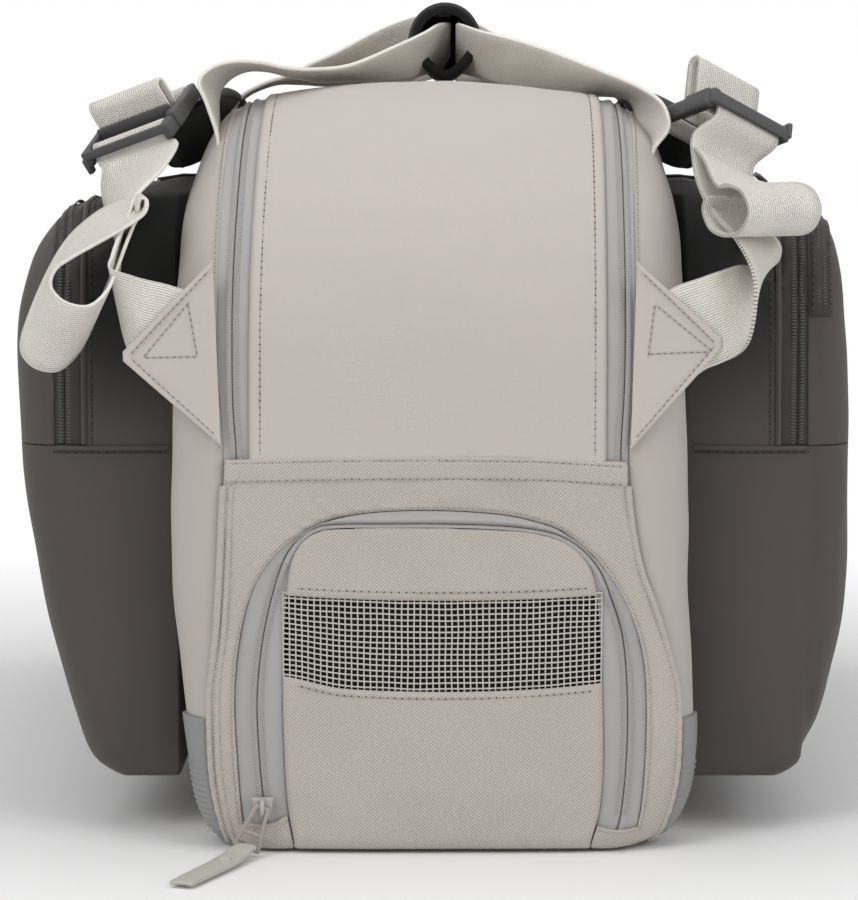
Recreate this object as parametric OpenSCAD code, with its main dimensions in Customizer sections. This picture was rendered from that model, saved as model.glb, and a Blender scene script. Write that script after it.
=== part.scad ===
// Racket bag: a tall soft body that opens along its top, a racket compartment on each side,
// a ventilated shoe pocket in the near end, carry handles and two padded shoulder straps.
// Frame: origin in the middle of the base, X to the right, Y towards the far end, Z up.

/* [Main body] */
// Length of the main body
bag_l = 550; // [500:5:660]
// Greatest width of the main body
body_w = 236; // [220:2:290]
// Width of the main body at the floor
base_w = 190; // [170:2:210]
// Height of the main body
body_h = 352; // [320:2:420]
// Thickness of the padded fabric walls
wall = 4; // [3:0.5:6]
// Height of the seam between the near end panel and the lid
seam_z = 182; // [175:1:200]
// Half width of the lid between its zips
lid_half = 83; // [70:1:86]
// Width of the main zip tape on each side
zip_w = 15; // [14:1:18]

/* [Shoe pocket] */
// How far the pocket sits to the right of the middle
pocket_x = 4; // [0:1:8]
// Half width of the shoe flap
flap_half = 72; // [60:1:76]
// Top of the shoe flap
flap_top_z = 150; // [140:1:154]
// Radius of the flap's top corners
flap_r = 32; // [20:1:40]
// Lower and upper edge of the mesh window
mesh_z0 = 81; // [70:1:90]
mesh_z1 = 121; // [110:1:126]
// Mesh cells across and up the window
mesh_cols = 30; // [20:1:32]
mesh_rows = 8; // [6:1:9]
// Depth of the shoe tunnel
tunnel_l = 335; // [320:5:380]

/* [Racket compartments] */
// Thickness of a racket compartment
side_t = 76; // [60:1:90]
// Height of a racket compartment
side_h = 272; // [265:1:290]
// Height of its underside above the floor
side_z = 28; // [20:1:40]
// Length of a racket compartment
side_l = 490; // [480:5:560]
// Set back of its near end from the near end of the body
side_back = 45; // [30:1:60]
// Distance of its zip from its inner wall
side_zip = 52.4; // [45:0.2:60]
// Wall of a racket compartment
side_wall = 3; // [2.5:0.5:4]
// Height of the line on which its outer panel folds down
fold_z = 187; // [170:1:200]

/* [Straps and handles] */
// Width of the webbing
web_w = 40; // [34:1:42]
// Thickness of the webbing
web_t = 1.6; // [1.2:0.1:2]
// Width and thickness of the padded shoulder straps
pad_w = 54; // [46:1:56]
pad_t = 12; // [8:1:14]
// Distance of the padded straps from the middle
pad_x = 129; // [129:1:134]
// Length of the grip
grip_l = 100; // [80:5:130]
// Radius of the grip
grip_r = 16; // [12:0.5:17]

/* [Hidden] */
$fn = 48;

// Colours
light_fabric = [0.80, 0.77, 0.74];
web_colour = [0.72, 0.70, 0.66];
zip_grey = [0.64, 0.64, 0.65];
dark_fabric = [0.32, 0.30, 0.29];
black_fabric = [0.12, 0.12, 0.12];
plastic_grey = [0.27, 0.27, 0.27];
rubber_grey = [0.60, 0.58, 0.58];

// Seams and clearances
gap = 0.3;              // left open between neighbouring panels
far = 400;              // beyond every surface
rim_z = 9;              // height of the base panel's raised rim
near_y = -bag_l / 2;
far_y = bag_l / 2;
side_x = body_w / 2 + 0.6;

// Main body outline
shoulder_w = 196;       // width across the lid's shoulders
belly_z = 70;           // height of the widest place above the floor
shoulder_z = 285;
near_top_r = 120;
far_top_r = 70;
end_r = 24;             // upright corners of the two ends
panel_half = lid_half + zip_w;

// Main zip
tape_in = 0.6;          // how far a tape lies below the fabric
tape_t = 2.2;
zip_half = lid_half + zip_w / 2;
fold_y = 105;           // the lid folds here, behind the handles
lid_edge_z = 276;       // the lid's lower edge on the far end
far_zip_mid = lid_edge_z - zip_w / 2;
far_zip_low = lid_edge_z - zip_w;

// Shoe zip, measured outwards from the flap
flap_tape = 5.2;        // the part of the tape that moves with the flap
tape_out = 19;          // the whole tape's width
slider_half = 5.4;
slider_mid = flap_tape + gap + slider_half;
pocket_zip_top = 8;     // width of the tape over the top of the flap
slider_z = 23.5;        // height of the shoe slider's bail

// One side of an outline: each corner is [x, y, radius]
function unit(v) = v / norm(v);
function turned(v, a) = [v[0] * cos(a) - v[1] * sin(a), v[0] * sin(a) + v[1] * cos(a)];
function corner_arc(a, b, c, r) =
    let (u = unit(a - b), v = unit(c - b), half = acos(u * v) / 2,
         centre = b + unit(u + v) * r / sin(half),
         start = b + u * r / tan(half) - centre,
         stop = b + v * r / tan(half) - centre,
         sweep = 180 - 2 * half, n = max(1, round(sweep / 13)),
         turn = cross(start, stop) > 0 ? sweep : -sweep)
    [for (i = [0:n]) centre + turned(start, turn * i / n)];
function flat2(p) = [p[0], p[1]];
function rounded(k) = let (n = len(k))
    [for (i = [0:n - 1]) each corner_arc(flat2(k[(i + n - 1) % n]), flat2(k[i]), flat2(k[(i + 1) % n]), k[i][2])];
function mirrored(k) = concat(k, [for (i = [len(k) - 1:-1:0]) [-k[i][0], k[i][1], k[i][2]]]);

// The three outlines of the main body, drawn t inside its surface
function body_front(t) = rounded(mirrored([
    [base_w / 2 - t, t, 24 - t], [body_w / 2 - t, belly_z, 120],
    [body_w / 2 - 3 - t, shoulder_z, 60], [shoulder_w / 2 - t, body_h - t, 30 - t]]));
function body_side(t) = rounded([
    [near_y + t, t, 9 - t], [far_y - t, t, 20 - t],
    [far_y - t, body_h - t, far_top_r - t], [near_y + t, body_h - t, near_top_r - t]]);
function body_plan(t) = rounded(mirrored([
    [body_w / 2 + 8 - t, near_y + t, end_r + 8 - t], [body_w / 2 + 8 - t, far_y - t, end_r + 8 - t]]));

// The outlines of the right racket compartment
side_near = near_y + side_back;
top_edge_r = 36;        // its rounded outer top edge
side_far = side_near + side_l;
function side_front(t) = rounded([
    [side_x + t, side_z + t, 8 - t], [side_x + 42 - t, side_z + t, 22 - t],
    [side_x + side_t - 7 - t, side_z + 102, 90], [side_x + side_t - t, side_z + 160, 90],
    [side_x + side_t - t, side_z + side_h - t, top_edge_r - t], [side_x + t, side_z + side_h - t, 10 - t]]);
function side_long(t) = rounded([
    [side_near + t, side_z + t, 40 - t], [side_far - t, side_z + t, 40 - t],
    [side_far - t, side_z + side_h - t, 55 - t], [side_near + t, side_z + side_h - t, 45 - t]]);
function side_plan(t) = rounded([
    [side_x - 12 + t, side_near + t, 9 - t], [side_x + side_t - t, side_near + t, 22 - t],
    [side_x + side_t - t, side_far - t, 22 - t], [side_x - 12 + t, side_far - t, 9 - t]]);

module along_x(outline) translate([-far, 0, 0]) rotate([90, 0, 90]) linear_extrude(2 * far) polygon(outline);
module along_y(outline, y0 = -far, y1 = far)
    translate([0, y1, 0]) rotate([90, 0, 0]) linear_extrude(y1 - y0) polygon(outline);
module zone(x0, x1, y0, y1, z0, z1) translate([x0, y0, z0]) cube([x1 - x0, y1 - y0, z1 - z0]);
module both_sides() { children(); mirror([1, 0, 0]) children(); }
module right_or_left(left) mirror([left ? 1 : 0, 0, 0]) children();

module body_form(t) intersection() {
    along_y(body_front(t));
    along_x(body_side(t));
    translate([0, 0, -far]) linear_extrude(2 * far) polygon(body_plan(t));
}
module body_skin(t0, t1) difference() { body_form(t0); body_form(t1); }
module side_form(t) intersection() {
    along_y(side_front(t));
    along_x(side_long(t));
    translate([0, 0, -far]) linear_extrude(2 * far) polygon(side_plan(t));
}
module side_skin(t0, t1) difference() { side_form(t0); side_form(t1); }

// The arch of the shoe pocket, drawn w outside the flap's edge
function arch(w, top_w, foot) = rounded([
    [pocket_x - flap_half - w, foot, 0.5], [pocket_x + flap_half + w, foot, 0.5],
    [pocket_x + flap_half + w, flap_top_z + top_w, flap_r + w],
    [pocket_x - flap_half - w, flap_top_z + top_w, flap_r + w]]);
module arch_plate(w, top_w, foot, y0, y1) along_y(arch(w, top_w, foot), near_y + y0, near_y + y1);

module base_panel() color(rubber_grey) difference() {
    intersection() { body_skin(0, wall); zone(-far, far, -far, far, -1, rim_z); }
}
board_t = 2.5;
board_inset = 20;
module base_board() color(black_fabric)
    zone(-base_w / 2 + board_inset, base_w / 2 - board_inset, near_y + board_inset, far_y - board_inset,
        wall + gap, wall + gap + board_t);

module side_wall(left) color(light_fabric) right_or_left(left) intersection() {
    body_skin(0, wall);
    zone(panel_half + gap, far, -far, far, rim_z + gap, far);
}
module near_panel() color(light_fabric) difference() {
    intersection() {
        body_skin(0, wall);
        zone(-panel_half, panel_half, -far, 0, rim_z + gap, seam_z - gap);
    }
    arch_plate(tape_out + gap, pocket_zip_top + gap, 0, -10, 40);
}
module far_panel() color(light_fabric) intersection() {
    body_skin(0, wall);
    zone(-panel_half, panel_half, 0, far, rim_z + gap, far_zip_low - gap);
}
module lid_near_panel() color(light_fabric) intersection() {
    body_skin(0, wall);
    zone(-lid_half, lid_half, -far, fold_y, seam_z, far);
}
module seam_band() color(light_fabric) intersection() {
    body_skin(-1.4, -0.2);
    zone(-panel_half + 2, panel_half - 2, -far, 0, seam_z - 11, seam_z - 1);
}
piping_w = 3.4;
module end_piping() color(light_fabric) both_sides() intersection() {
    body_skin(-1.8, -0.2);
    zone(panel_half - 1, panel_half - 1 + piping_w, -far, 0, rim_z, seam_z - 12);
}
guard_top_z = 62;
module corner_guards() color(rubber_grey) both_sides() intersection() {
    body_skin(-1.8, -0.2);
    zone(panel_half + piping_w, far, -far, near_y + 26, 2, guard_top_z);
}

// Gussets: triangular wings sewn to the edges of the near end
wing_t = 2.5;
wing_y = near_y - 0.5 - wing_t;
wing = [[94, 193], [136, 232], [98, 270]];
module gusset(left) color(light_fabric) right_or_left(left)
    along_y(wing, wing_y, wing_y + wing_t);

// Main zip: the body's half of the tape, which runs right round the lid
module main_zip_tape() color(zip_grey) intersection() {
    body_skin(tape_in, tape_in + tape_t);
    union() {
        both_sides() {
            zone(zip_half + gap / 2, panel_half - gap, -far, far_y - wall - 2, seam_z + gap, far);
            zone(lid_half + gap, zip_half + 1, -far, fold_y, seam_z + gap, far);
            zone(zip_half + gap / 2, panel_half - gap, 0, far, far_zip_low, far);
        }
        zone(-panel_half + gap, panel_half - gap, fold_y, far, far_zip_low, far_zip_mid - gap / 2);
    }
}
module lid_zip_tape() color(zip_grey) intersection() {
    body_skin(tape_in, tape_in + tape_t);
    union() {
        both_sides() zone(lid_half + gap, zip_half - gap / 2, fold_y + gap, far, far_zip_mid + gap / 2, far);
        zone(-zip_half + 1, zip_half - 1, 0, far, far_zip_mid + gap / 2, lid_edge_z - gap);
    }
}
module lid_flap() color(light_fabric) intersection() {
    body_skin(0, wall);
    zone(-lid_half, lid_half, fold_y + gap, far, lid_edge_z, far);
}

// Shoe pocket
module shoe_zip_tape() color(zip_grey) difference() {
    arch_plate(tape_out, pocket_zip_top, rim_z + gap, 0.4, 2.6);
    arch_plate(flap_tape + gap, pocket_zip_top / 2, 0, -1, 4);
}
tab_top_z = 16;
module shoe_zip_tab(x0, x1) zone(x0, x1, near_y - 1.6, near_y + 0.1, rim_z + gap, tab_top_z);
module shoe_zip_tabs() color(light_fabric) {
    shoe_zip_tab(pocket_x - flap_half - tape_out, pocket_x - flap_half - flap_tape - gap);
    shoe_zip_tab(pocket_x + flap_half + flap_tape + gap, pocket_x + flap_half + tape_out);
}
// The tunnel's roof and its end wall, one bent panel held by the side walls
roof_z = seam_z - 16;
module shoe_divider() color(black_fabric) intersection() {
    body_form(wall + gap);
    union() {
        zone(-far, far, near_y, near_y + tunnel_l, roof_z, roof_z + 2);
        zone(-far, far, near_y + tunnel_l - 2, near_y + tunnel_l, wall + board_t + 2 * gap, roof_z + 2);
    }
}
module flap_piece(z0, z1, y0, y1) intersection() {
    arch_plate(0, 0, 0, y0, y1);
    zone(-far, far, -far, 0, z0, z1);
}
flap_foot_z = rim_z + gap;
module shoe_flap_top() color(light_fabric) flap_piece(mesh_z1 + gap, far, 0, wall - 0.5);
module shoe_flap_lower() color(light_fabric) flap_piece(flap_foot_z, mesh_z0 - gap, 0, wall - 0.5);
strand = 1.3;
module shoe_flap_mesh() color(light_fabric) {
    w = 2 * flap_half - 0.6;
    h = mesh_z1 - mesh_z0;
    px = (w - strand) / mesh_cols;
    pz = (h - strand) / mesh_rows;
    translate([pocket_x - w / 2, near_y + 2.2, mesh_z0]) rotate([90, 0, 0]) linear_extrude(1.2) difference() {
        square([w, h]);
        for (i = [0:mesh_cols - 1], k = [0:mesh_rows - 1])
            translate([strand + i * px, strand + k * pz]) square([px - strand, pz - strand]);
    }
}
module shoe_flap_zip() color(zip_grey) difference() {
    arch_plate(flap_tape, pocket_zip_top / 2 - gap, tab_top_z + 1.5, 0.4, 2.6);
    arch_plate(gap, gap, 0, -1, 4);
}

// A zip slider with its bail, and the puller that hangs from it. The bail's axis is the local
// origin, the zip lies behind it (towards +Y) and the puller hangs down.
bail_r = 1.7;
bail_w = 2.4;
pull_bar_r = 1.1;
slider_reach = 5.6;     // from the bail's axis to the slider's back
module zip_slider() {
    translate([-slider_half, 1.9, -6.2]) cube([2 * slider_half, slider_reach - 1.9, 10.6]);
    difference() {
        union() {
            rotate([0, 90, 0]) cylinder(r = bail_r + 1.5, h = bail_w, center = true);
            translate([-bail_w / 2, 0, -bail_r - 1.5]) cube([bail_w, 2.4, 2 * bail_r + 3]);
        }
        rotate([0, 90, 0]) cylinder(r = bail_r, h = 4, center = true);
    }
}
// Puller: a flat tapered loop of length l, top width a and bottom width b
pull_t = 1.9;
function loop_outline(l, a, b, d) = rounded([
    [-b / 2 + d, -l + d, 2], [b / 2 - d, -l + d, 2], [a / 2 - d, -d, 1.2], [-a / 2 + d, -d, 1.2]]);
module zip_puller(l, a, b, web_at) {
    translate([0, pull_t / 2, 0]) rotate([90, 0, 0]) linear_extrude(pull_t) {
        difference() {
            polygon(loop_outline(l, a, b, 0));
            polygon(loop_outline(l, a, b, 1.9));
            translate([-a / 2, -2]) square([a, 4]);
            translate([-a / 2 + 1.9, -4]) square([a - 3.8, 4]);
        }
        intersection() {
            polygon(loop_outline(l, a, b, 0));
            for (z = web_at) translate([-b, -z - 0.8]) square([2 * b, 1.6]);
        }
    }
    rotate([0, 90, 0]) cylinder(r = pull_bar_r, h = a - 0.6, center = true);
    both_sides() translate([a / 2 - 1.9, -pull_t / 2, -3]) cube([1.9, pull_t, 3]);
}
module facing_far() rotate([0, 0, 180]) children();

shoe_slider_at = [pocket_x - flap_half - slider_mid, near_y + 0.1 - slider_reach, slider_z];
shoe_pull_l = 20.5;
module shoe_slider() color(zip_grey) translate(shoe_slider_at) zip_slider();
module shoe_puller() color(web_colour) translate(shoe_slider_at) zip_puller(shoe_pull_l, 8, 14, [14]);
// The soft tab lies on the floor in front, from the puller's foot to its tip
tab_from = [shoe_slider_at[0] - 4, shoe_slider_at[1] - 5.5];
tab_to = [-111, near_y - 66];
tab_w = 10;
tab_t = 2.2;
module shoe_pull_tab() color(web_colour) translate([0, 0, gap]) linear_extrude(tab_t) hull() {
    translate(tab_from) circle(r = tab_w / 2 - 1);
    translate(tab_to) circle(r = tab_w / 2);
}
module shoe_pull_stud() color(web_colour)
    translate([0.75 * tab_from[0] + 0.25 * tab_to[0], 0.75 * tab_from[1] + 0.25 * tab_to[1], gap + tab_t + 0.05])
        cylinder(r = 3, h = 1.2);

// Main sliders meet in the middle of the far end, below the lid's edge
main_slider_z = far_zip_mid - gap / 2 - 5.2;
main_slider_x = slider_half + 0.8;
main_slider_y = far_y + slider_reach + gap;
module main_slider(s) color(zip_grey)
    translate([s * main_slider_x, main_slider_y, main_slider_z]) facing_far() zip_slider();
module main_puller(s) color(zip_grey)
    translate([s * main_slider_x, main_slider_y, main_slider_z]) facing_far() zip_puller(26, 7, 8, [7, 20]);

// Racket compartments
side_zip_x = side_x + side_zip;
side_tape = 8.7;        // half of a racket zip's tape, on the fixed side
side_flap_tape = 5;     // its half on the moving side
module racket_shell(left) color(dark_fabric) right_or_left(left) difference() {
    side_skin(0, side_wall);
    zone(side_zip_x - side_tape - gap, far, -far, far, fold_z, far);
}
module racket_zip(left) color(black_fabric) right_or_left(left) intersection() {
    side_skin(0.5, side_wall - 0.6);
    zone(side_zip_x - side_tape, side_zip_x, -far, far, fold_z + gap, far);
}
module racket_flap_zip(left) color(black_fabric) right_or_left(left) intersection() {
    side_skin(0.5, side_wall - 0.6);
    zone(side_zip_x + gap, side_zip_x + side_flap_tape, -far, far, fold_z + 2 * gap, far);
}
module racket_flap(left) color(dark_fabric) right_or_left(left) intersection() {
    side_skin(0, side_wall);
    zone(side_zip_x + side_flap_tape + gap, far, -far, far, fold_z + gap, far);
}
racket_slider_z = fold_z + 8;
racket_slider_at = [side_zip_x - slider_half - gap, side_far + slider_reach + gap, racket_slider_z];
module racket_slider(left) color(plastic_grey) right_or_left(left)
    translate(racket_slider_at) facing_far() zip_slider();
module racket_puller(left) color(plastic_grey) right_or_left(left)
    translate(racket_slider_at) facing_far() zip_puller(26, 7, 8, [7, 20]);

// Accessory pocket on the right flap: its zip runs up the near end and along the top edge
acc_w = 10;
acc_x = side_x + side_t - 8 - acc_w;
acc_z0 = side_z + side_h - 56;
acc_far_y = 150;
module accessory_zip() color(black_fabric) intersection() {
    side_skin(-1.2, -0.2);
    zone(acc_x, acc_x + acc_w, -far, acc_far_y, acc_z0, far);
}
acc_slider_y = acc_far_y - 14;
// On the compartment's rounded top edge the slider faces up and outwards
acc_lean = 40;
module on_top_edge() translate([side_x + side_t - top_edge_r, acc_slider_y, side_z + side_h - top_edge_r])
    rotate([0, acc_lean, 0]) translate([0, 0, top_edge_r + 1.2 + gap + slider_reach]) rotate([-90, 0, 180])
    children();
module accessory_slider() color(plastic_grey) on_top_edge() zip_slider();
module accessory_puller() color(plastic_grey) on_top_edge() zip_puller(24, 7, 8, [7, 18]);

// Webbing: a flat band along stations, each [point, direction of its width]
function band_dir(s, i) = unit(s[min(i + 1, len(s) - 1)][0] - s[max(i - 1, 0)][0]);
function band_ring(s, i, w, t) =
    let (b = unit(s[i][1]), n = unit(cross(band_dir(s, i), b)))
    [s[i][0] + b * w / 2 + n * t / 2, s[i][0] - b * w / 2 + n * t / 2,
     s[i][0] - b * w / 2 - n * t / 2, s[i][0] + b * w / 2 - n * t / 2];
module band(s, w = web_w, t = web_t) {
    last = len(s) - 1;
    polyhedron(
        points = [for (i = [0:last]) each band_ring(s, i, w, t)],
        faces = concat(
            [[0, 1, 2], [0, 2, 3], [4 * last + 2, 4 * last + 1, 4 * last], [4 * last + 3, 4 * last + 2, 4 * last]],
            [for (i = [0:last - 1], j = [0:3])
                [4 * i + j, 4 * i + 4 + j, 4 * i + 4 + (j + 1) % 4]],
            [for (i = [0:last - 1], j = [0:3])
                [4 * i + j, 4 * i + 4 + (j + 1) % 4, 4 * i + (j + 1) % 4]]));
}

// Carry handles: each web has a near and a far leg that meet in the grip
grip_at = [6, -60, body_h + 9 + grip_r];
module handle_grip() color(black_fabric)
    translate(grip_at) rotate([90, 0, 0]) cylinder(r = grip_r, h = grip_l, center = true);
leg_z = 318;            // height at which the webs are sewn to the side walls
// The route of one side's web, s = -1 on the left: up its near leg, along the grip, down its far leg
function grip_side(s) = grip_at[0] + s * (grip_r + web_t / 2 + gap);
function handle_route(s) = [
    [[s * 108, -190, leg_z], [0, 1, 0]],
    [[s * 105, -190, leg_z + 15], [0, 1, 0.05]],
    [[s * 107, -188, leg_z + 32], [0, 1, 0.2]],
    [[s * 104, -184, leg_z + 46], [s * 0.1, 1, 0.3]],
    [[s * 90, -176, leg_z + 54], [s * 0.2, 1, 0.3]],
    [[s * 68, -164, leg_z + 53], [s * 0.3, 0.9, 0.5]],
    [[s * 44, -148, leg_z + 53], [s * 0.4, 0.6, 0.8]],
    [[grip_side(s) + s * 10, -126, grip_at[2]], [0, 0.1, 1]],
    [[grip_side(s) + s * 1.5, -112, grip_at[2]], [0, 0, 1]],
    [[grip_side(s), -104, grip_at[2]], [0, 0, 1]],
    [[grip_side(s), -16, grip_at[2]], [0, 0, 1]],
    [[grip_side(s) + s * 1.5, -8, grip_at[2]], [0, 0, 1]],
    [[grip_side(s) + s * 9, 4, grip_at[2] - 2], [0, -0.2, 1]],
    [[s * 48, 26, leg_z + 54], [s * 0.4, -0.6, 0.8]],
    [[s * 72, 44, leg_z + 51], [s * 0.3, -0.9, 0.5]],
    [[s * 92, 52, leg_z + 44], [s * 0.1, -1, 0.2]],
    [[s * 99, 54, leg_z + 30], [0, -1, 0]],
    [[s * 104.5, 54, leg_z + 16], [0, -1, 0]],
    [[s * 108, 54, leg_z], [0, -1, 0]]];
module handle_web(left) color(web_colour) band(handle_route(left ? -1 : 1));

// Padded shoulder straps, lying along the shoulders and leaning outwards
pad_near = -165;
pad_far = 212;
pad_far_z = 317.8;
pad_far_lean = 28;
pad_rise = 9;           // how far the strap arches up between its ends
// At the near end each strap lies as its ladder lock pulls it: [x, z, lean]
function pad_near_at(s) = s < 0 ? [pad_x + 1, 338, 18] : [pad_x - 1, 330, 31];
function pad_part(y) = (y - pad_near) / (pad_far - pad_near);
function pad_at(s, y) = let (f = pad_part(y), a = pad_near_at(s), b = [pad_x, pad_far_z, pad_far_lean])
    (1 - f) * a + f * b + [0, 4 * pad_rise * f * (1 - f), 0];
pad_steps = 10;
pad_ys = [for (i = [0:pad_steps]) pad_near + (pad_far - pad_near) * i / pad_steps];
function pad_taper(i) = (i == 0 || i == pad_steps) ? 0.5 : 1;
pad_half = rounded([[-pad_w / 2, -pad_t / 2, 5], [pad_w / 2, -pad_t / 2, 5],
    [pad_w / 2, pad_t / 2, 5], [-pad_w / 2, pad_t / 2, 5]]);
module strap_pad(left) color(black_fabric) {
    s = left ? -1 : 1;
    n = len(pad_half);
    rings = [for (i = [0:pad_steps], p = pad_half)
        let (a = pad_at(s, pad_ys[i]), q = turned([s * p[0], p[1] * pad_taper(i)], -s * a[2]))
        [s * a[0] + q[0], pad_ys[i], a[1] + q[1]]];
    faces = concat(
        [[for (k = [0:n - 1]) k]], [[for (k = [n - 1:-1:0]) n * pad_steps + k]],
        [for (i = [0:pad_steps - 1], k = [0:n - 1]) [n * i + k, n * (i + 1) + k, n * (i + 1) + (k + 1) % n]],
        [for (i = [0:pad_steps - 1], k = [0:n - 1])
            [n * i + k, n * (i + 1) + (k + 1) % n, n * i + (k + 1) % n]]);
    polyhedron(rings, left ? [for (f = faces) [for (k = [len(f) - 1:-1:0]) f[k]]] : faces);
}
// Patches on the compartments where the padded straps are sewn on
anchor_l = 34;
anchor_w = 40;
module strap_anchors() color(black_fabric) both_sides()
    zone(side_x + 6, side_x + 6 + anchor_w, pad_far - 4, pad_far + anchor_l,
        side_z + side_h + gap, side_z + side_h + gap + 2.5);

// Ladder locks: local x along the bars, y from the tongue bar to the front bar
lock_half = web_w / 2 + 4;
lock_l = 31;
bar_r = 2.2;
rail_t = 3;
left_bar = [0.84, -0.45, 0.30];
left_run = [-0.273, -0.831, -0.485];
left_front = [-140.5, -212, 326.5];
right_bar = [0.755, 0.528, -0.385];
right_run = [0.645, -0.71, 0.277];
right_front = [146.5, -205, 336];
function lock_u(left) = unit(left ? left_bar : right_bar);
function lock_v(left) = let (u = lock_u(left), r = left ? left_run : right_run) unit(r - (r * u) * u);
function lock_top(left) = (left ? left_front : right_front) - lock_l * lock_v(left);
module lock_place(left) {
    u = lock_u(left);
    v = lock_v(left);
    n = cross(u, v);
    o = lock_top(left);
    multmatrix([[u[0], v[0], n[0], o[0]], [u[1], v[1], n[1], o[1]], [u[2], v[2], n[2], o[2]], [0, 0, 0, 1]])
        children();
}
module lock_bar(y) translate([-lock_half + 1, y, 0]) rotate([0, 90, 0]) cylinder(r = bar_r, h = 2 * lock_half - 2);
module ladder_lock(left) color(plastic_grey) lock_place(left) {
    for (y = [0, lock_l / 2, lock_l]) lock_bar(y);
    both_sides() translate([lock_half - rail_t, -3.2, -3.2]) cube([rail_t, lock_l + 6.4, 6.4]);
    translate([-lock_half, lock_l + 1, -4.2]) cube([2 * lock_half, 2.6, 6]);
}
// The tongue is the webbing loop that joins the pad to the lock's tongue bar
module tongue_ring() rotate([0, 90, 0]) difference() {
    cylinder(r = bar_r + gap + web_t, h = web_w, center = true);
    cylinder(r = bar_r + gap, h = web_w + 2, center = true);
}
function tongue_route(left) =
    let (s = left ? -1 : 1, u = lock_u(left), o = lock_top(left), v = lock_v(left), a = pad_near_at(s),
         from = [s * a[0], pad_near - 0.4, a[1]], w = [cos(a[2]), 0, -s * sin(a[2])])
    [[from, w], [0.5 * from + 0.5 * (o - 7 * v), unit(w + u)], [o - 7 * v, unit(w + 3 * u)], [o - 3.4 * v, u]];
module strap_tongue(left) color(web_colour) {
    lock_place(left) tongue_ring();
    band(tongue_route(left), web_w - 2);
}
// The webbing wrapped over the lock's middle bar; on the right it stands up in a loop
module wrap(rise) translate([-web_w / 2, lock_l / 2, 0]) rotate([90, 0, 90]) linear_extrude(web_w) difference() {
    hull() { circle(r = bar_r + gap + web_t); translate([0, -rise]) circle(r = bar_r + gap + web_t); }
    hull() { circle(r = bar_r + gap); translate([0, -rise]) circle(r = bar_r + gap); }
}
left_wrap = 6;
right_wrap = 26;
module lock_web(left) color(web_colour) lock_place(left) wrap(left ? left_wrap : right_wrap);

// Adjuster webs: out of the gusset, round a slack loop and up to the lock
loop_axis = [0.47, -0.74, 0.47];
loop_down = [-0.526, -0.668, -0.526];
loop_over = [0.703, 0, -0.703];
left_apex = [-137, -262, 290];
function on_loop(a, b) = left_apex + a * loop_down + b * loop_over;
left_web = [
    [[-118, -274.6, 249], [0.7, 0, 0.7]], [[-126, -274, 257], [0.7, 0, 0.7]],
    [[-131, -271, 265], [0.6, -0.5, 0.6]], [[-132, -264, 273], [0.4, -0.8, 0.4]],
    [[-131, -257, 283], [0.3, -0.9, 0.2]], [on_loop(-5, 3), loop_axis],
    [on_loop(8, 8), loop_axis], [on_loop(24, 13), loop_axis], [on_loop(42, 15), loop_axis],
    [on_loop(56, 9), loop_axis], [on_loop(61, -3), loop_axis], [on_loop(54, -14), loop_axis],
    [on_loop(36, -17), loop_axis], [on_loop(16, -14), loop_axis],
    [[-149, -258, 303], [0.6, -0.6, 0.4]], [[-144, -236, 314], [0.7, -0.5, 0.3]],
    [[-143, -219, 319.5], [0.77, -0.59, 0.24]]];
right_axis = [0.8, 0.6, 0];
right_across = [0.6, -0.8, 0];
right_loop_at = [148, -266, 297];
function on_roll(a) = right_loop_at + 14 * cos(a) * right_across + [0, 0, 11.5 * sin(a)];
right_web = [
    [[118, -274.6, 249], [-0.7, 0, 0.7]], [[125.5, -274, 256.5], [-0.7, 0, 0.7]],
    [[132, -272, 261], [-0.5, 0.6, 0.6]], [[139, -270, 267], [0.1, 0.9, 0.4]],
    [[141, -264, 275], [0.5, 0.8, 0.1]], [on_roll(-125), right_axis], [on_roll(-85), right_axis],
    [on_roll(-45), right_axis], [on_roll(0), right_axis], [on_roll(45), right_axis],
    [on_roll(90), right_axis], [[140, -255, 314], [0.85, 0.4, -0.2]],
    [[142, -236, 321], [0.8, 0.45, -0.35]], [[144, -217, 326.5], [0.755, 0.528, -0.385]]];
module adjuster_web(left) color(web_colour) band(left ? left_web : right_web);

base_panel();
base_board();
side_wall(true);  // side_wall_left
side_wall(false);  // side_wall_right
near_panel();
far_panel();
lid_near_panel();
seam_band();
end_piping();
corner_guards();
gusset(true);  // gusset_left
gusset(false);  // gusset_right
main_zip_tape();
shoe_zip_tape();
shoe_zip_tabs();
shoe_divider();
strap_anchors();
racket_shell(true);  // racket_shell_left
racket_shell(false);  // racket_shell_right
racket_zip(true);  // racket_zip_left
racket_zip(false);  // racket_zip_right
lid_flap();
lid_zip_tape();
shoe_flap_top();
shoe_flap_mesh();
shoe_flap_lower();
shoe_flap_zip();
shoe_slider();
shoe_puller();
shoe_pull_tab();
shoe_pull_stud();
main_slider(-1);  // main_slider_left
main_slider(1);  // main_slider_right
main_puller(-1);  // main_puller_left
main_puller(1);  // main_puller_right
racket_flap(true);  // racket_flap_left
racket_flap(false);  // racket_flap_right
racket_flap_zip(true);  // racket_flap_zip_left
racket_flap_zip(false);  // racket_flap_zip_right
racket_slider(true);  // racket_slider_left
racket_slider(false);  // racket_slider_right
racket_puller(true);  // racket_puller_left
racket_puller(false);  // racket_puller_right
accessory_zip();
accessory_slider();
accessory_puller();
handle_grip();
handle_web(true);  // handle_web_left
handle_web(false);  // handle_web_right
strap_pad(true);  // strap_pad_left
strap_pad(false);  // strap_pad_right
strap_tongue(true);  // strap_tongue_left
strap_tongue(false);  // strap_tongue_right
ladder_lock(true);  // ladder_lock_left
ladder_lock(false);  // ladder_lock_right
lock_web(true);  // lock_web_left
lock_web(false);  // lock_web_right
adjuster_web(true);  // adjuster_web_left
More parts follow.
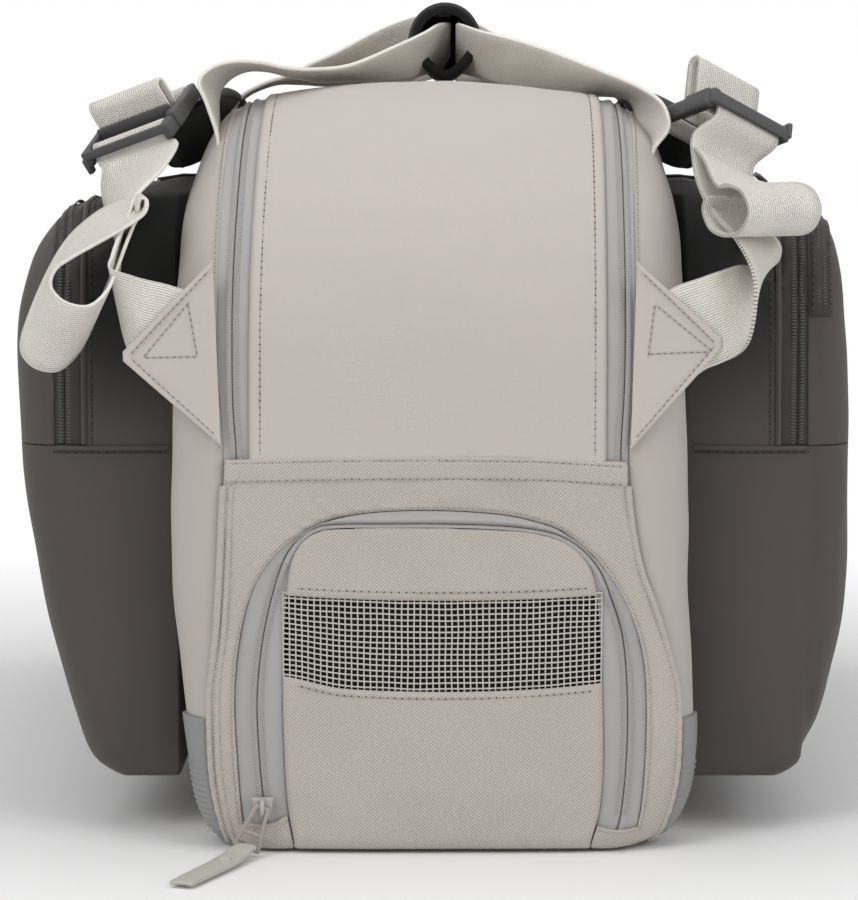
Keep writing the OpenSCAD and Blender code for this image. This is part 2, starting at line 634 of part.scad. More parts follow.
adjuster_web(false);  // adjuster_web_right
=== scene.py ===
"""Racket bag: fabric, zips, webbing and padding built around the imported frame.

Sizes in the functions below are millimetres in the shared frame.
Meshes are scaled to metres when they are finished.
"""
import math

import bmesh
import bpy
from mathutils import Matrix, Vector, noise


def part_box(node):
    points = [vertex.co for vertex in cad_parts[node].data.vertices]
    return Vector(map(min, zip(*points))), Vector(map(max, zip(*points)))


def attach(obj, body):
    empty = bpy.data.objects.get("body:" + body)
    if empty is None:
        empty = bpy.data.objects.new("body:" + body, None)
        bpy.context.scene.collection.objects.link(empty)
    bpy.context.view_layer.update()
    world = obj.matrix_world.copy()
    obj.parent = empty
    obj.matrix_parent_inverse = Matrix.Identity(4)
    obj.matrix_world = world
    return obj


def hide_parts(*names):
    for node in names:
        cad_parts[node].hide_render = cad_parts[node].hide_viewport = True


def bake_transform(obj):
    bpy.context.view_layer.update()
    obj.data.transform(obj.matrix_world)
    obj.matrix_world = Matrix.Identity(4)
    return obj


bl_info = {
    "name": "Racket Bag",
    "version": (1, 0, 0),
    "blender": (4, 5, 0),
    "location": "View3D > Sidebar > Racket Bag",
    "description": "Builds the soft parts, zips and webbing of a racket bag around its frame",
    "category": "Add Mesh",
}

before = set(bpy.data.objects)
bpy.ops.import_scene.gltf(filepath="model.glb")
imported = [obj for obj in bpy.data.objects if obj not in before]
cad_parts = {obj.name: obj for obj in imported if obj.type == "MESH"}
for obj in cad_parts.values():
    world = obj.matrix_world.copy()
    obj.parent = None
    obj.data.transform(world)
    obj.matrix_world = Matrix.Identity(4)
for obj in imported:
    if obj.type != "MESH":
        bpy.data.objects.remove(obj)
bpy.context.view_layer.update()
MM = 0.001
LEFT = -1
RIGHT = 1
WORD = {LEFT: "left", RIGHT: "right"}
TAU = 2 * math.pi
X, Y, Z = 0, 1, 2
BODY_MIDDLE = (0, 0, 170)


# ---------------------------------------------------------------- small maths
def ease(a, b, t):
    """0 before a, 1 after b and smooth between."""
    k = min(max((t - a) / (b - a), 0.0), 1.0)
    return k * k * (3 - 2 * k)


def curve(table, t):
    """Smooth value at t from a table of (t, value) pairs in rising order."""
    if t <= table[0][0]:
        return table[0][1]
    if t >= table[-1][0]:
        return table[-1][1]
    i = 1
    while table[i][0] < t:
        i += 1
    (t0, a), (t1, b) = table[i - 1], table[i]

    def slope(k):
        if k <= 0 or k >= len(table) - 1:
            return 0.0
        before = (table[k][1] - table[k - 1][1]) / (table[k][0] - table[k - 1][0])
        after = (table[k + 1][1] - table[k][1]) / (table[k + 1][0] - table[k][0])
        return 0.0 if before * after <= 0 else 0.5 * (before + after)

    h = t1 - t0
    k = (t - t0) / h
    m0, m1 = slope(i - 1) * h, slope(i) * h
    return (a * (2 * k**3 - 3 * k**2 + 1) + m0 * (k**3 - 2 * k**2 + k)
            + b * (3 * k**2 - 2 * k**3) + m1 * (k**3 - k**2))


def spline(points, t):
    """Point at t (0 to 1) on a smooth curve through the given vectors."""
    n = len(points) - 1
    k = min(int(t * n), n - 1)
    f = t * n - k
    p0 = points[max(k - 1, 0)]
    p1, p2 = points[k], points[k + 1]
    p3 = points[min(k + 2, n)]
    return 0.5 * (2 * p1 + (p2 - p0) * f + (2 * p0 - 5 * p1 + 4 * p2 - p3) * f**2
                  + (3 * p1 - p0 - 3 * p2 + p3) * f**3)


def run_lengths(points):
    """How far along a polyline each of its vectors lies."""
    lengths = [0.0]
    for a, b in zip(points, points[1:]):
        lengths.append(lengths[-1] + (b - a).length)
    return lengths


def evenly(points, count):
    """count + 1 vectors evenly spaced along a polyline."""
    lengths = run_lengths(points)
    out = []
    i = 1
    for k in range(count + 1):
        want = lengths[-1] * k / count
        while i < len(points) - 1 and lengths[i] < want:
            i += 1
        span = max(lengths[i] - lengths[i - 1], 1e-9)
        f = min(max((want - lengths[i - 1]) / span, 0.0), 1.0)
        out.append(points[i - 1].lerp(points[i], f))
    return out


def soft(p, size, seed=0.0):
    """Smooth noise between about -1 and 1 at a point, for folds of the given size."""
    return noise.noise(Vector(p) / size + Vector((seed, 7.3 * seed, -3.1 * seed)))


# ---------------------------------------------------------------- meshes
def sheet_mesh(columns, rows, place, flat=None):
    """A grid whose every point is set by place(u, v); flat(u, v) gives its spot on the cloth in mm."""
    bm = bmesh.new()
    layer = bm.loops.layers.uv.new("UVMap")
    bmesh.ops.create_grid(bm, x_segments=columns, y_segments=rows, size=1.0)
    bm.verts.index_update()
    at = [((v.co.x + 1) / 2, (v.co.y + 1) / 2) for v in bm.verts]
    for face in bm.faces:
        for loop in face.loops:
            u, w = at[loop.vert.index]
            a, b = flat(u, w) if flat else (u, w)
            loop[layer].uv = (a * MM, b * MM)
    for v in bm.verts:
        u, w = at[v.index]
        v.co = Vector(place(u, w))
    return bm


def gridded_cube(cuts):
    """A cube from -1 to 1 with that many cuts across x, y and z."""
    bm = bmesh.new()
    bmesh.ops.create_cube(bm, size=2.0)
    for axis, count in enumerate(cuts):
        edges = [e for e in bm.edges if abs(e.verts[0].co[axis] - e.verts[1].co[axis]) > 1.0]
        bmesh.ops.subdivide_edges(bm, edges=edges, cuts=count, use_grid_fill=True)
    return bm


def face_away(bm, centre=BODY_MIDDLE):
    """Turns an open sheet's faces away from a point."""
    c = Vector(centre)
    total = 0.0
    for f in bm.faces:
        f.normal_update()
        total += f.normal.dot(f.calc_center_median() - c) * f.calc_area()
    if total < 0:
        bmesh.ops.reverse_faces(bm, faces=bm.faces[:])
    return bm


def tube_mesh(points, radius, sides=8, closed_ends=True, up=None):
    """A round cord along vectors: a grid rolled round the line and welded."""
    n = len(points)
    frames = []
    side = None
    run = 0.0
    for i, p in enumerate(points):
        t = (points[min(i + 1, n - 1)] - points[max(i - 1, 0)]).normalized()
        if side is None:
            guess = up if up is not None else Vector((0, 0, 1) if abs(t.z) < 0.9 else (1, 0, 0))
            side = t.cross(guess).normalized()
        side = (side - t * side.dot(t)).normalized()
        if i:
            run += (p - points[i - 1]).length
        frames.append((p, side, side.cross(t), run))

    def place(u, v):
        p, across, over, _ = frames[int(v * (n - 1) + 0.5)]
        a = TAU * int(u * sides + 0.5) / sides
        return p + across * radius * math.cos(a) + over * radius * math.sin(a)

    bm = sheet_mesh(sides, n - 1, place, lambda u, v: (u * TAU * radius, frames[int(v * (n - 1) + 0.5)][3]))
    bmesh.ops.remove_doubles(bm, verts=bm.verts[:], dist=radius * 0.02)
    if closed_ends:
        bmesh.ops.holes_fill(bm, edges=[e for e in bm.edges if e.is_boundary], sides=sides)
    bmesh.ops.recalc_face_normals(bm, faces=bm.faces[:])
    return bm


def flowing(points, fine):
    """Vectors along a smooth curve that makes no loops where the given points lie close together."""
    line = []
    last = len(points) - 1
    for i in range(last):
        p1, p2 = points[i], points[i + 1]
        p0 = points[i - 1] if i else p1 * 2 - p2
        p3 = points[i + 2] if i + 2 <= last else p2 * 2 - p1
        a, b, c = [max((q - p).length, 1e-6) ** 0.5 for p, q in ((p0, p1), (p1, p2), (p2, p3))]
        m1 = (p2 - p1) + b * ((p1 - p0) / a - (p2 - p0) / (a + b))
        m2 = (p2 - p1) + b * ((p3 - p2) / c - (p3 - p1) / (b + c))
        for k in range(fine):
            t = k / fine
            line.append(p1 * (2 * t**3 - 3 * t**2 + 1) + m1 * (t**3 - 2 * t**2 + t)
                        + p2 * (3 * t**2 - 2 * t**3) + m2 * (t**3 - t**2))
    return line + [points[-1].copy()]


def ribbon_mesh(stations, width, steps, pinch=None):
    """A flat band through (centre, width direction) stations."""
    line = flowing([Vector(c) for c, _ in stations], 16)
    across = [Vector(d).normalized() for _, d in stations]
    dirs = [spline(across, k / (len(line) - 1)).normalized() for k in range(len(line))]
    lengths = run_lengths(line)
    total = lengths[-1]

    def at(v):
        want = v * total
        i = 1
        while i < len(line) - 1 and lengths[i] < want:
            i += 1
        f = (want - lengths[i - 1]) / max(lengths[i] - lengths[i - 1], 1e-9)
        return line[i - 1].lerp(line[i], f), dirs[i - 1].lerp(dirs[i], f).normalized()

    def place(u, v):
        c, d = at(v)
        return c + d * (u - 0.5) * width * (pinch(v) if pinch else 1.0)

    bm = sheet_mesh(8, steps, place, lambda u, v: (u * width, v * total))
    return bm


def dots(bm, spots, size):
    """Small rounded lumps: spots are (point, along, normal) and size is (length, width, height)."""
    for p, along, up in spots:
        t = along.normalized()
        side = up.cross(t).normalized()
        over = t.cross(side)
        m = Matrix((t * size[0] / 2, side * size[1] / 2, over * size[2] / 2)).transposed().to_4x4()
        m.translation = p
        bmesh.ops.create_icosphere(bm, subdivisions=1, radius=1.0, matrix=m)


def paced(fn, start, stop, pitch, fine=240):
    """Points every pitch mm along fn(t) -> (point, normal), with their direction."""
    pts = [fn(start + (stop - start) * i / fine) for i in range(fine + 1)]
    spots = []
    carry = pitch / 2
    for (a, na), (b, nb) in zip(pts, pts[1:]):
        span = (b - a).length
        if span < 1e-6:
            continue
        while carry <= span:
            f = carry / span
            spots.append((a.lerp(b, f), (b - a).normalized(), na.lerp(nb, f).normalized()))
            carry += pitch
        carry -= span
    return spots


def stitch_mesh(bm, fn, start=0.0, stop=1.0, pitch=3.0, length=2.3, width=0.55, hole=0.7):
    """A row of thread stitches with a needle hole between each two, its dark colour painted shade."""
    spots = paced(fn, start, stop, pitch)
    dots(bm, spots, (length, width, 0.5))
    first = len(bm.faces)
    bm.faces.ensure_lookup_table()
    dots(bm, [(p + t * pitch / 2, t, n) for p, t, n in spots], (hole, hole * 0.9, 0.45))
    bm.faces.ensure_lookup_table()
    for f in bm.faces[first:]:
        f.material_index = 1


def finish_piece(name, bm, body, looks, thick=0.0, offset=-1.0, smooth=0, angle=50, nodes=None):
    """Turns a bmesh in mm into a named object that rides on a CAD body.

    It stands for the CAD node of its own name, unless nodes says otherwise; looks names its materials.
    """
    bmesh.ops.transform(bm, matrix=Matrix.Scale(MM, 4), verts=bm.verts[:])
    mesh = bpy.data.meshes.new(name)
    bm.to_mesh(mesh)
    bm.free()
    for look in looks.split():
        mesh.materials.append(mat(look))
    for p in mesh.polygons:
        p.use_smooth = True
    mesh.set_sharp_from_angle(angle=math.radians(angle))
    obj = bpy.data.objects.new(name, mesh)
    bpy.context.scene.collection.objects.link(obj)
    if smooth:
        mod = obj.modifiers.new("Smooth", "SUBSURF")
        mod.levels = mod.render_levels = smooth
        mod.boundary_smooth = "PRESERVE_CORNERS"
    if thick:
        mod = obj.modifiers.new("Thickness", "SOLIDIFY")
        mod.thickness = thick * MM
        mod.offset = offset
        mod.use_even_offset = False
    if body:
        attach(obj, body)
    if nodes is None:
        nodes = [name]
    if nodes:
        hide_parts(*nodes)
    return obj


def join_mesh(target, other):
    """Adds another bmesh to the first one."""
    mesh = bpy.data.meshes.new("join")
    other.to_mesh(mesh)
    target.from_mesh(mesh)
    bpy.data.meshes.remove(mesh)
    other.free()


# ---------------------------------------------------------------- materials
def linear(c):
    """An sRGB colour (0 to 1) as linear values."""
    return tuple(((v + 0.055) / 1.055) ** 2.4 if v > 0.04045 else v / 12.92 for v in c[:3])


class Graph:
    """Short ways to add and join shader nodes."""

    def __init__(self, tree):
        self.tree = tree
        self.n = tree.nodes

    def link(self, value, socket):
        if isinstance(value, bpy.types.NodeSocket):
            self.tree.links.new(value, socket)
        elif value is not None:
            socket.default_value = value

    def math(self, op, a, b=None, c=None):
        node = self.n.new("ShaderNodeMath")
        node.operation = op
        for value, socket in zip((a, b, c), node.inputs):
            self.link(value, socket)
        return node.outputs[0]

    def mix(self, f, a, b):
        node = self.n.new("ShaderNodeMix")
        node.data_type = "RGBA"
        self.link(f, node.inputs[0])
        self.link(a, node.inputs[6])
        self.link(b, node.inputs[7])
        return node.outputs[2]

    def noise(self, vector, scale, detail=3.0, rough=0.5):
        node = self.n.new("ShaderNodeTexNoise")
        self.link(vector, node.inputs["Vector"])
        self.link(scale, node.inputs["Scale"])
        self.link(detail, node.inputs["Detail"])
        self.link(rough, node.inputs["Roughness"])
        return node.outputs["Fac"]

    def split(self, vector):
        node = self.n.new("ShaderNodeSeparateXYZ")
        self.link(vector, node.inputs[0])
        return node.outputs

    def range(self, value, a, b, c, d):
        node = self.n.new("ShaderNodeMapRange")
        for v, socket in zip((value, a, b, c, d), node.inputs):
            self.link(v, socket)
        return node.outputs[0]


def new_group(name, inputs, outputs):
    """A shader node group with float, vector or colour sockets."""
    group = bpy.data.node_groups.new(name, "ShaderNodeTree")
    for label, kind, value in inputs:
        s = group.interface.new_socket(name=label, in_out="INPUT", socket_type=kind)
        if value is not None:
            s.default_value = value
    for label, kind in outputs:
        group.interface.new_socket(name=label, in_out="OUTPUT", socket_type=kind)
    g = Graph(group)
    source = group.nodes.new("NodeGroupInput")
    sink = group.nodes.new("NodeGroupOutput")
    return group, g, source, sink


def waves(g, along, size):
    """Angle of a pattern that repeats every size mm."""
    return g.math("MULTIPLY", g.math("DIVIDE", along, g.math("MULTIPLY", size, MM)), TAU)


def weave_group():
    """Basket weave: crossing threads as a height and a colour mask, with slubs and wear; the mask follows
    the height, which paints shade into the gaps between threads.
    """
    group, g, source, sink = new_group(
        "Weave",
        [("Cloth", "NodeSocketVector", None), ("Thread U", "NodeSocketFloat", 1.0),
         ("Thread V", "NodeSocketFloat", 1.0), ("Uneven", "NodeSocketFloat", 0.3)],
        [("Height", "NodeSocketFloat"), ("Tone", "NodeSocketFloat")])
    cloth = source.outputs[0]
    x, y, _ = g.split(cloth)
    wobble = g.noise(cloth, 180.0, 2.0)
    u = waves(g, x, source.outputs[1])
    v = waves(g, y, source.outputs[2])
    u = g.math("ADD", u, g.math("MULTIPLY", wobble, 2.0))
    v = g.math("ADD", v, g.math("MULTIPLY", wobble, -2.0))
    cross = g.math("MULTIPLY", g.math("SINE", u), g.math("SINE", v))
    height = g.math("MULTIPLY_ADD", cross, 0.5, 0.5)
    slub = g.noise(cloth, 900.0, 3.0, 0.6)
    broad = g.noise(cloth, 22.0, 4.0, 0.55)
    uneven = g.math("MULTIPLY", g.math("SUBTRACT", slub, 0.5), source.outputs[3])
    g.link(g.math("ADD", height, uneven), sink.inputs[0])
    # Tone: painted shade in the thread gaps from the height, and broad random tone.
    tone = g.math("ADD", g.math("MULTIPLY", height, 0.7), g.math("MULTIPLY", broad, 0.3))
    g.link(tone, sink.inputs[1])
    return group


def rib_group():
    """Webbing: ribs along the length crossed by fine threads, with firm edges; the tone follows the height,
    which paints shade between the ribs and along the lowered edges.
    """
    group, g, source, sink = new_group("Ribs", [("Cloth", "NodeSocketVector", None),
                                                ("Rib", "NodeSocketFloat", 2.2),
                                                ("Thread", "NodeSocketFloat", 1.5),
                                                ("Width", "NodeSocketFloat", 40.0)],
                                       [("Height", "NodeSocketFloat"), ("Tone", "NodeSocketFloat")])
    cloth = source.outputs[0]
    x, y, _ = g.split(cloth)
    u = waves(g, x, source.outputs[1])
    v = waves(g, y, source.outputs[2])
    rib = g.math("SINE", u)
    thread = g.math("SINE", g.math("ADD", v, g.math("MULTIPLY", g.math("SIGN", rib), 1.57)))
    body = g.math("MULTIPLY_ADD", g.math("ABSOLUTE", rib), 0.55, 0.1)
    height = g.math("ADD", body, g.math("MULTIPLY", g.math("MULTIPLY_ADD", thread, 0.5, 0.5), 0.45))
    share = g.math("DIVIDE", x, g.math("MULTIPLY", source.outputs[3], MM))
    edge = g.math("GREATER_THAN", g.math("ABSOLUTE", g.math("SUBTRACT", share, 0.5)), 0.462)
    fine = g.noise(cloth, 1500.0, 2.0)
    height = g.math("ADD", height, g.math("MULTIPLY", g.math("SUBTRACT", fine, 0.5), 0.25))
    g.link(g.math("MULTIPLY", height, g.math("MULTIPLY_ADD", edge, -0.35, 1.0)), sink.inputs[0])
    broad = g.noise(cloth, 35.0, 3.0)
    # Tone: painted shade from the height, plus broad random tone.
    g.link(g.math("MULTIPLY_ADD", broad, 0.3, g.math("MULTIPLY", height, 0.7)), sink.inputs[1])
    return group


def grain_group():
    """Moulded plastic or rubber: fine grain, scuffs and a little dust."""
    group, g, source, sink = new_group(
        "Grain",
        [("Place", "NodeSocketVector", None), ("Scale", "NodeSocketFloat", 1200.0)],
        [("Height", "NodeSocketFloat"), ("Tone", "NodeSocketFloat")])
    place = source.outputs[0]
    fine = g.noise(place, source.outputs[1], 3.0, 0.6)
    scuff = g.noise(place, 90.0, 5.0, 0.65)
    g.link(fine, sink.inputs[0])
    g.link(g.math("MULTIPLY_ADD", scuff, 0.6, g.math("MULTIPLY", fine, 0.4)), sink.inputs[1])
    return group


GROUPS = {}


def group_of(name):
    """The shared node group of that name, made once."""
    if name not in GROUPS:
        GROUPS[name] = {"Weave": weave_group, "Ribs": rib_group, "Grain": grain_group}[name]()
    return GROUPS[name]


def base_material(name, rough, sheen=0.0):
    """An empty material with its shader, shader graph and coordinate node."""
    made = bpy.data.materials.new(name)
    made.use_nodes = True
    tree = made.node_tree
    shader = tree.nodes["Principled BSDF"]
    shader.inputs["Roughness"].default_value = rough
    shader.inputs["Sheen Weight"].default_value = sheen
    shader.inputs["Sheen Roughness"].default_value = 0.5
    coords = tree.nodes.new("ShaderNodeTexCoord")
    return made, Graph(tree), shader, coords


def pattern(g, name, place, *values):
    """Height and tone of a shared group, with its settings after the place."""
    node = g.n.new("ShaderNodeGroup")
    node.node_tree = group_of(name)
    g.link(place, node.inputs[0])
    for value, socket in zip(values, node.inputs[1:]):
        socket.default_value = value
    return node.outputs[0], node.outputs[1]


def surface(g, shader, height, tone, colour, contrast, depth, rough, rough_swing, shade=None):
    """Joins a height and a tone to the shader as bump, colour and roughness; shade, when given, mixes in a
    painted-shade colour by its mask.
    """
    dark = tuple(v * (1 - contrast) for v in linear(colour)) + (1,)
    light = tuple(min(v * (1 + contrast * 0.55), 1.0) for v in linear(colour)) + (1,)
    mixed = g.mix(tone, dark, light)
    if shade is not None:
        mixed = g.mix(shade[0], mixed, tuple(linear(shade[1])) + (1,))
    g.link(mixed, shader.inputs["Base Color"])
    bump = g.n.new("ShaderNodeBump")
    bump.inputs["Distance"].default_value = depth * MM
    bump.inputs["Strength"].default_value = 1.0
    g.link(height, bump.inputs["Height"])
    g.link(bump.outputs[0], shader.inputs["Normal"])
    g.link(g.range(tone, 0.2, 0.9, rough - rough_swing, rough + rough_swing), shader.inputs["Roughness"])


def cloth(name, colour, threads, contrast, depth, rough, sheen):
    """Woven cloth on the piece's own flat layout."""
    made, g, shader, coords = base_material(name, rough, sheen)
    height, tone = pattern(g, "Weave", coords.outputs["UV"], *threads)
    surface(g, shader, height, tone, colour, contrast, depth, rough, 0.05)
    return made


def webbing(name, colour, contrast, depth, rib, thread):
    """Ribbed webbing on the band's own flat layout."""
    made, g, shader, coords = base_material(name, 0.8, 0.1)
    height, tone = pattern(g, "Ribs", coords.outputs["UV"], rib, thread, WEB_W)
    # The stretched tone range deepens the painted shade between the ribs.
    surface(g, shader, height, g.range(tone, 0.24, 0.6, 0.0, 1.0), colour, contrast, depth, 0.78, 0.06)
    return made


def moulded(name, colour, rough, contrast, depth, metal=0.0):
    """Plastic, rubber or painted metal with a fine grain."""
    made, g, shader, coords = base_material(name, rough)
    height, tone = pattern(g, "Grain", coords.outputs["Object"])
    shader.inputs["Metallic"].default_value = metal
    surface(g, shader, height, tone, colour, contrast, depth, rough, 0.08)
    return made


def dark_cloth_with_painted_shade(name, colour):
    """Compartment cloth that turns black where the mesh's inner value says so: painted shade on the upper
    inner part, partly black cloth.
    """
    made, g, shader, coords = base_material(name, 0.78, 0.05)
    height, tone = pattern(g, "Weave", coords.outputs["UV"], 0.6, 0.6)
    inner = g.n.new("ShaderNodeAttribute")
    inner.attribute_name = "inner"
    black = bpy.context.scene.bag_colours.black
    surface(g, shader, height, tone, colour, 0.12, 0.04, 0.78, 0.05, (inner.outputs["Fac"], black))
    return made


# Each material: how it is made, its name, its colour (one of the settings or a fixed one) and its values.
LOOKS = {
    "canvas": (cloth, "Canvas", "fabric", (1.9, 1.7), 0.34, 0.34, 0.88, 0.1),
    "smooth_cloth": (cloth, "Lid cloth", "lid", (0.9, 0.9), 0.11, 0.08, 0.85, 0.1),
    "side_cloth": (cloth, "Side cloth", "side", (0.8, 0.8), 0.1, 0.07, 0.85, 0.1),
    "thread": (cloth, "Thread", "thread", (0.5, 0.5), 0.25, 0.05, 0.8, 0.1),
    # The needle holes' dark colours here and below are painted shade in the holes.
    "hole": (cloth, "Needle hole", (0.3, 0.27, 0.25), (0.5, 0.5), 0.2, 0.05, 0.95, 0.0),
    "tape": (cloth, "Zip tape", "zip_tape", (0.55, 0.9), 0.14, 0.06, 0.82, 0.1),
    "coil": (moulded, "Zip coil", "zip_coil", 0.55, 0.12, 0.01),
    "webbing": (webbing, "Webbing", "webbing", 0.66, 0.6, 2.4, 1.15),
    "dark": (cloth, "Dark cloth", "dark", (0.6, 0.6), 0.12, 0.04, 0.78, 0.12),
    "black": (cloth, "Black cloth", "black", (0.8, 0.8), 0.25, 0.1, 0.9, 0.03),
    "dark_tape": (cloth, "Dark zip tape", "dark_tape", (0.55, 0.9), 0.2, 0.06, 0.75, 0.1),
    "dark_coil": (moulded, "Dark zip coil", "dark_coil", 0.45, 0.15, 0.01),
    "dark_thread": (cloth, "Dark thread", "dark_thread", (0.5, 0.5), 0.25, 0.05, 0.8, 0.1),
    "soft_hole": (cloth, "Soft needle hole", (0.5, 0.47, 0.44), (0.5, 0.5), 0.2, 0.05, 0.95, 0.0),
    "dark_hole": (cloth, "Dark needle hole", (0.06, 0.055, 0.05), (0.5, 0.5), 0.2, 0.05, 0.95, 0.0),
    "net": (cloth, "Net cord", "net", (0.5, 0.5), 0.2, 0.06, 0.8, 0.1),
    # Near-black: the divider's cloth, and painted shade behind the shoe pocket's net.
    "lining": (cloth, "Lining", (0.052, 0.046, 0.042), (0.9, 0.9), 0.3, 0.06, 0.9, 0.0),
    "board": (moulded, "Stiff board", (0.2, 0.19, 0.18), 0.7, 0.2, 0.03),
    "rubber": (moulded, "Rubber", "rubber", 0.62, 0.1, 0.05),
    "slider": (moulded, "Slider", "slider", 0.42, 0.08, 0.01, 0.1),
    "puller": (moulded, "Puller", "puller", 0.48, 0.08, 0.01, 0.1),
    "tab": (moulded, "Tab", "tab", 0.6, 0.08, 0.03),
    "buckle": (moulded, "Buckle", "buckle", 0.5, 0.15, 0.02),
    "dark_metal": (moulded, "Dark metal", "dark_metal", 0.45, 0.12, 0.01, 0.2),
    # Dark compartment cloth with black painted shade on its upper inner part.
    "dark_painted_shade": (dark_cloth_with_painted_shade, "Dark cloth and inner panel", "dark"),
}
MATERIALS = {}


def mat(name):
    """One of the bag's materials, made on first use from the colours in the scene's settings."""
    if name not in MATERIALS:
        maker, label, colour, *values = LOOKS[name]
        if isinstance(colour, str):
            colour = getattr(bpy.context.scene.bag_colours, colour)
        MATERIALS[name] = maker(label, colour, *values)
    return MATERIALS[name]


# ---------------------------------------------------------------- the main body's surface
# s runs from the floor up the near end, over the top and down the far end; x runs across.
LENGTH = 275.0
TOP = 352.0
NEAR_R, FAR_R = 120.0, 70.0
S_NEAR = TOP - NEAR_R
S_TOP = S_NEAR + NEAR_R * math.pi / 2
S_FAR = S_TOP + 2 * LENGTH - NEAR_R - FAR_R
S_DOWN = S_FAR + FAR_R * math.pi / 2
S_END = S_DOWN + TOP - FAR_R
SEAM = 182.0

# Half widths in mm: the side walls by height, and the sheet's rim, the zip's middle and the lid's edge by s.
WALL = {
    LEFT: [(0, 96), (10, 103), (19, 107), (35, 110), (66, 114), (112, 118.5), (160, 119.5), (205, 118.6),
           (261, 117), (298, 114), (321, 107.5), (340, 104), (352, 104)],
    RIGHT: [(0, 99), (5, 106), (10, 111), (19, 116), (35, 120.5), (56, 122.5), (80, 121.5), (112, 119.5),
            (160, 118.4), (205, 117.4), (251, 116), (298, 114), (321, 108), (340, 104), (352, 104)],
}
RIM = {
    LEFT: [(0, 93), (5, 94), (20, 98), (35, 100.5), (69, 101.5), (99, 98.5), (120, 97), (150, 95.5),
           (180, 94.3), (200, 95.5), (225, 97.3), (320, 96), (420, 94), (780, 95), (1100, 95), (1172, 92)],
    RIGHT: [(0, 97), (5, 103), (17, 109), (35, 113), (67, 114), (94, 108.5), (115, 102), (131, 96),
            (150, 92), (167, 90), (185, 89.6), (215, 92), (300, 93), (420, 96), (780, 96), (1100, 95),
            (1172, 92)],
}
ZIP_MID = {
    LEFT: [(182, 88.6), (205, 90), (240, 90.3), (320, 88.5), (420, 86.5), (900, 88)],
    RIGHT: [(182, 86.4), (215, 87.9), (300, 88.3), (420, 88.6), (900, 88)],
}
LID_EDGE = {
    LEFT: [(182, 82.9), (240, 82.7), (420, 79.2), (900, 80.5)],
    RIGHT: [(182, 79.8), (240, 79.8), (420, 81), (900, 80.5)],
}


def between(a, b, share):
    """The value that lies the given share of the way from a to b."""
    return a + (b - a) * share


def profile(s):
    """Point (y, z) and outward direction (ny, nz) on the side outline at s."""
    if s < S_NEAR:
        foot = max(9 - s, 0)
        return (-LENGTH + (9 - math.sqrt(81 - foot * foot)), s, -1.0, 0.0)
    if s < S_TOP:
        a = (s - S_NEAR) / NEAR_R
        return (-LENGTH + NEAR_R - NEAR_R * math.cos(a), TOP - NEAR_R + NEAR_R * math.sin(a), -math.cos(a),
                math.sin(a))
    if s < S_FAR:
        return (-LENGTH + NEAR_R + s - S_TOP, TOP, 0.0, 1.0)
    if s < S_DOWN:
        a = (s - S_FAR) / FAR_R
        return (LENGTH - FAR_R + FAR_R * math.sin(a), TOP - FAR_R + FAR_R * math.cos(a), math.sin(a),
                math.cos(a))
    z = max(S_END - s, 0.0)
    foot = max(9 - z, 0)
    return (LENGTH - (9 - math.sqrt(81 - foot * foot)), z, 1.0, 0.0)


def crown(s):
    """How far the sheet falls from its middle to its edges at s."""
    return 1.5 + 6.0 * ease(200, 430, s) * (1 - ease(760, 900, s))


def corner(s):
    """Radius of the rounded long edge at s."""
    return 24.0 - 3.0 * ease(200, 400, s) * (1 - ease(800, 950, s))


def dent(x, s):
    """Soft hollows and folds of the stuffed body, in mm."""
    p = (x, *profile(s)[:2])
    return 0.9 * soft(p, 95, 1.0) + 0.45 * soft(p, 38, 2.0)


def body_point(x, s, lift=0.0):
    """Point on the body's sheet across at x and along at s, raised by lift."""
    side = LEFT if x < 0 else RIGHT
    y, z, ny, nz = profile(s)
    r = corner(s)
    fall = crown(s) * min(abs(x) / 90.0, 1.0) ** 2
    x0 = curve(WALL[side], z - nz * fall) - r
    k = min(max(abs(x) - x0, 0.0), r)
    d = fall + r - math.sqrt(r * r - k * k) - lift - dent(x, s)
    return Vector((x, y - ny * d, z - nz * d))


def body_normal(x, s):
    """Outward direction of the body's sheet."""
    a = body_point(x + 1, s) - body_point(x - 1, s)
    b = body_point(x, s + 1) - body_point(x, s - 1)
    n = a.cross(b).normalized()
    ny, nz = profile(s)[2:]
    return n if n.y * ny + n.z * nz > 0 else -n


def wall_point(side, s, a, depth=0.0, lift=0.0):
    """Point on a side wall: a goes round the corner from the rim, depth goes in to the foot's middle."""
    y, z, ny, nz = profile(s)
    r = corner(s)
    rim = curve(RIM[side], s)
    fall = crown(s) * min(rim / 90.0, 1.0) ** 2
    x0 = curve(WALL[side], z - nz * fall) - r
    start = r * math.asin(min((rim - x0) / r, 1.0)) if rim > x0 else rim - x0
    q = start + (r * math.pi / 2 - start) * a
    turn = max(q, 0.0) / r
    d = fall + r * (1 - math.cos(turn)) - dent(side * rim, s) * (1 - a)
    zz = z - nz * d
    flat = min(q, 0.0)
    x = curve(WALL[side], zz) - r + r * math.sin(turn) + flat
    nx = math.sin(turn)
    yy = y - ny * d
    px, py, pz = x + nx * lift, yy + ny * lift * (1 - nx), zz + nz * lift * (1 - nx)
    if depth > 0:
        py, pz = py * (1 - depth), pz + (3 - pz) * depth
        px = x + (curve(WALL[side], pz) - curve(WALL[side], zz)) - 3 * ease(0.0, 0.15, depth) + lift
    p = (side * px, py, pz)
    push = (1.6 * soft(p, 70, 3.0) + 0.8 * soft(p, 30, 4.0)) * ease(0.15, 0.8, a)
    return Vector((side * (px + push), py, pz))


def on_body(fn, lift=0.0):
    """Turns fn(t) -> (x, s) into a path with normals for stitches and cords."""
    def at(t):
        x, s = fn(t)
        return body_point(x, s, lift), body_normal(x, s)
    return at


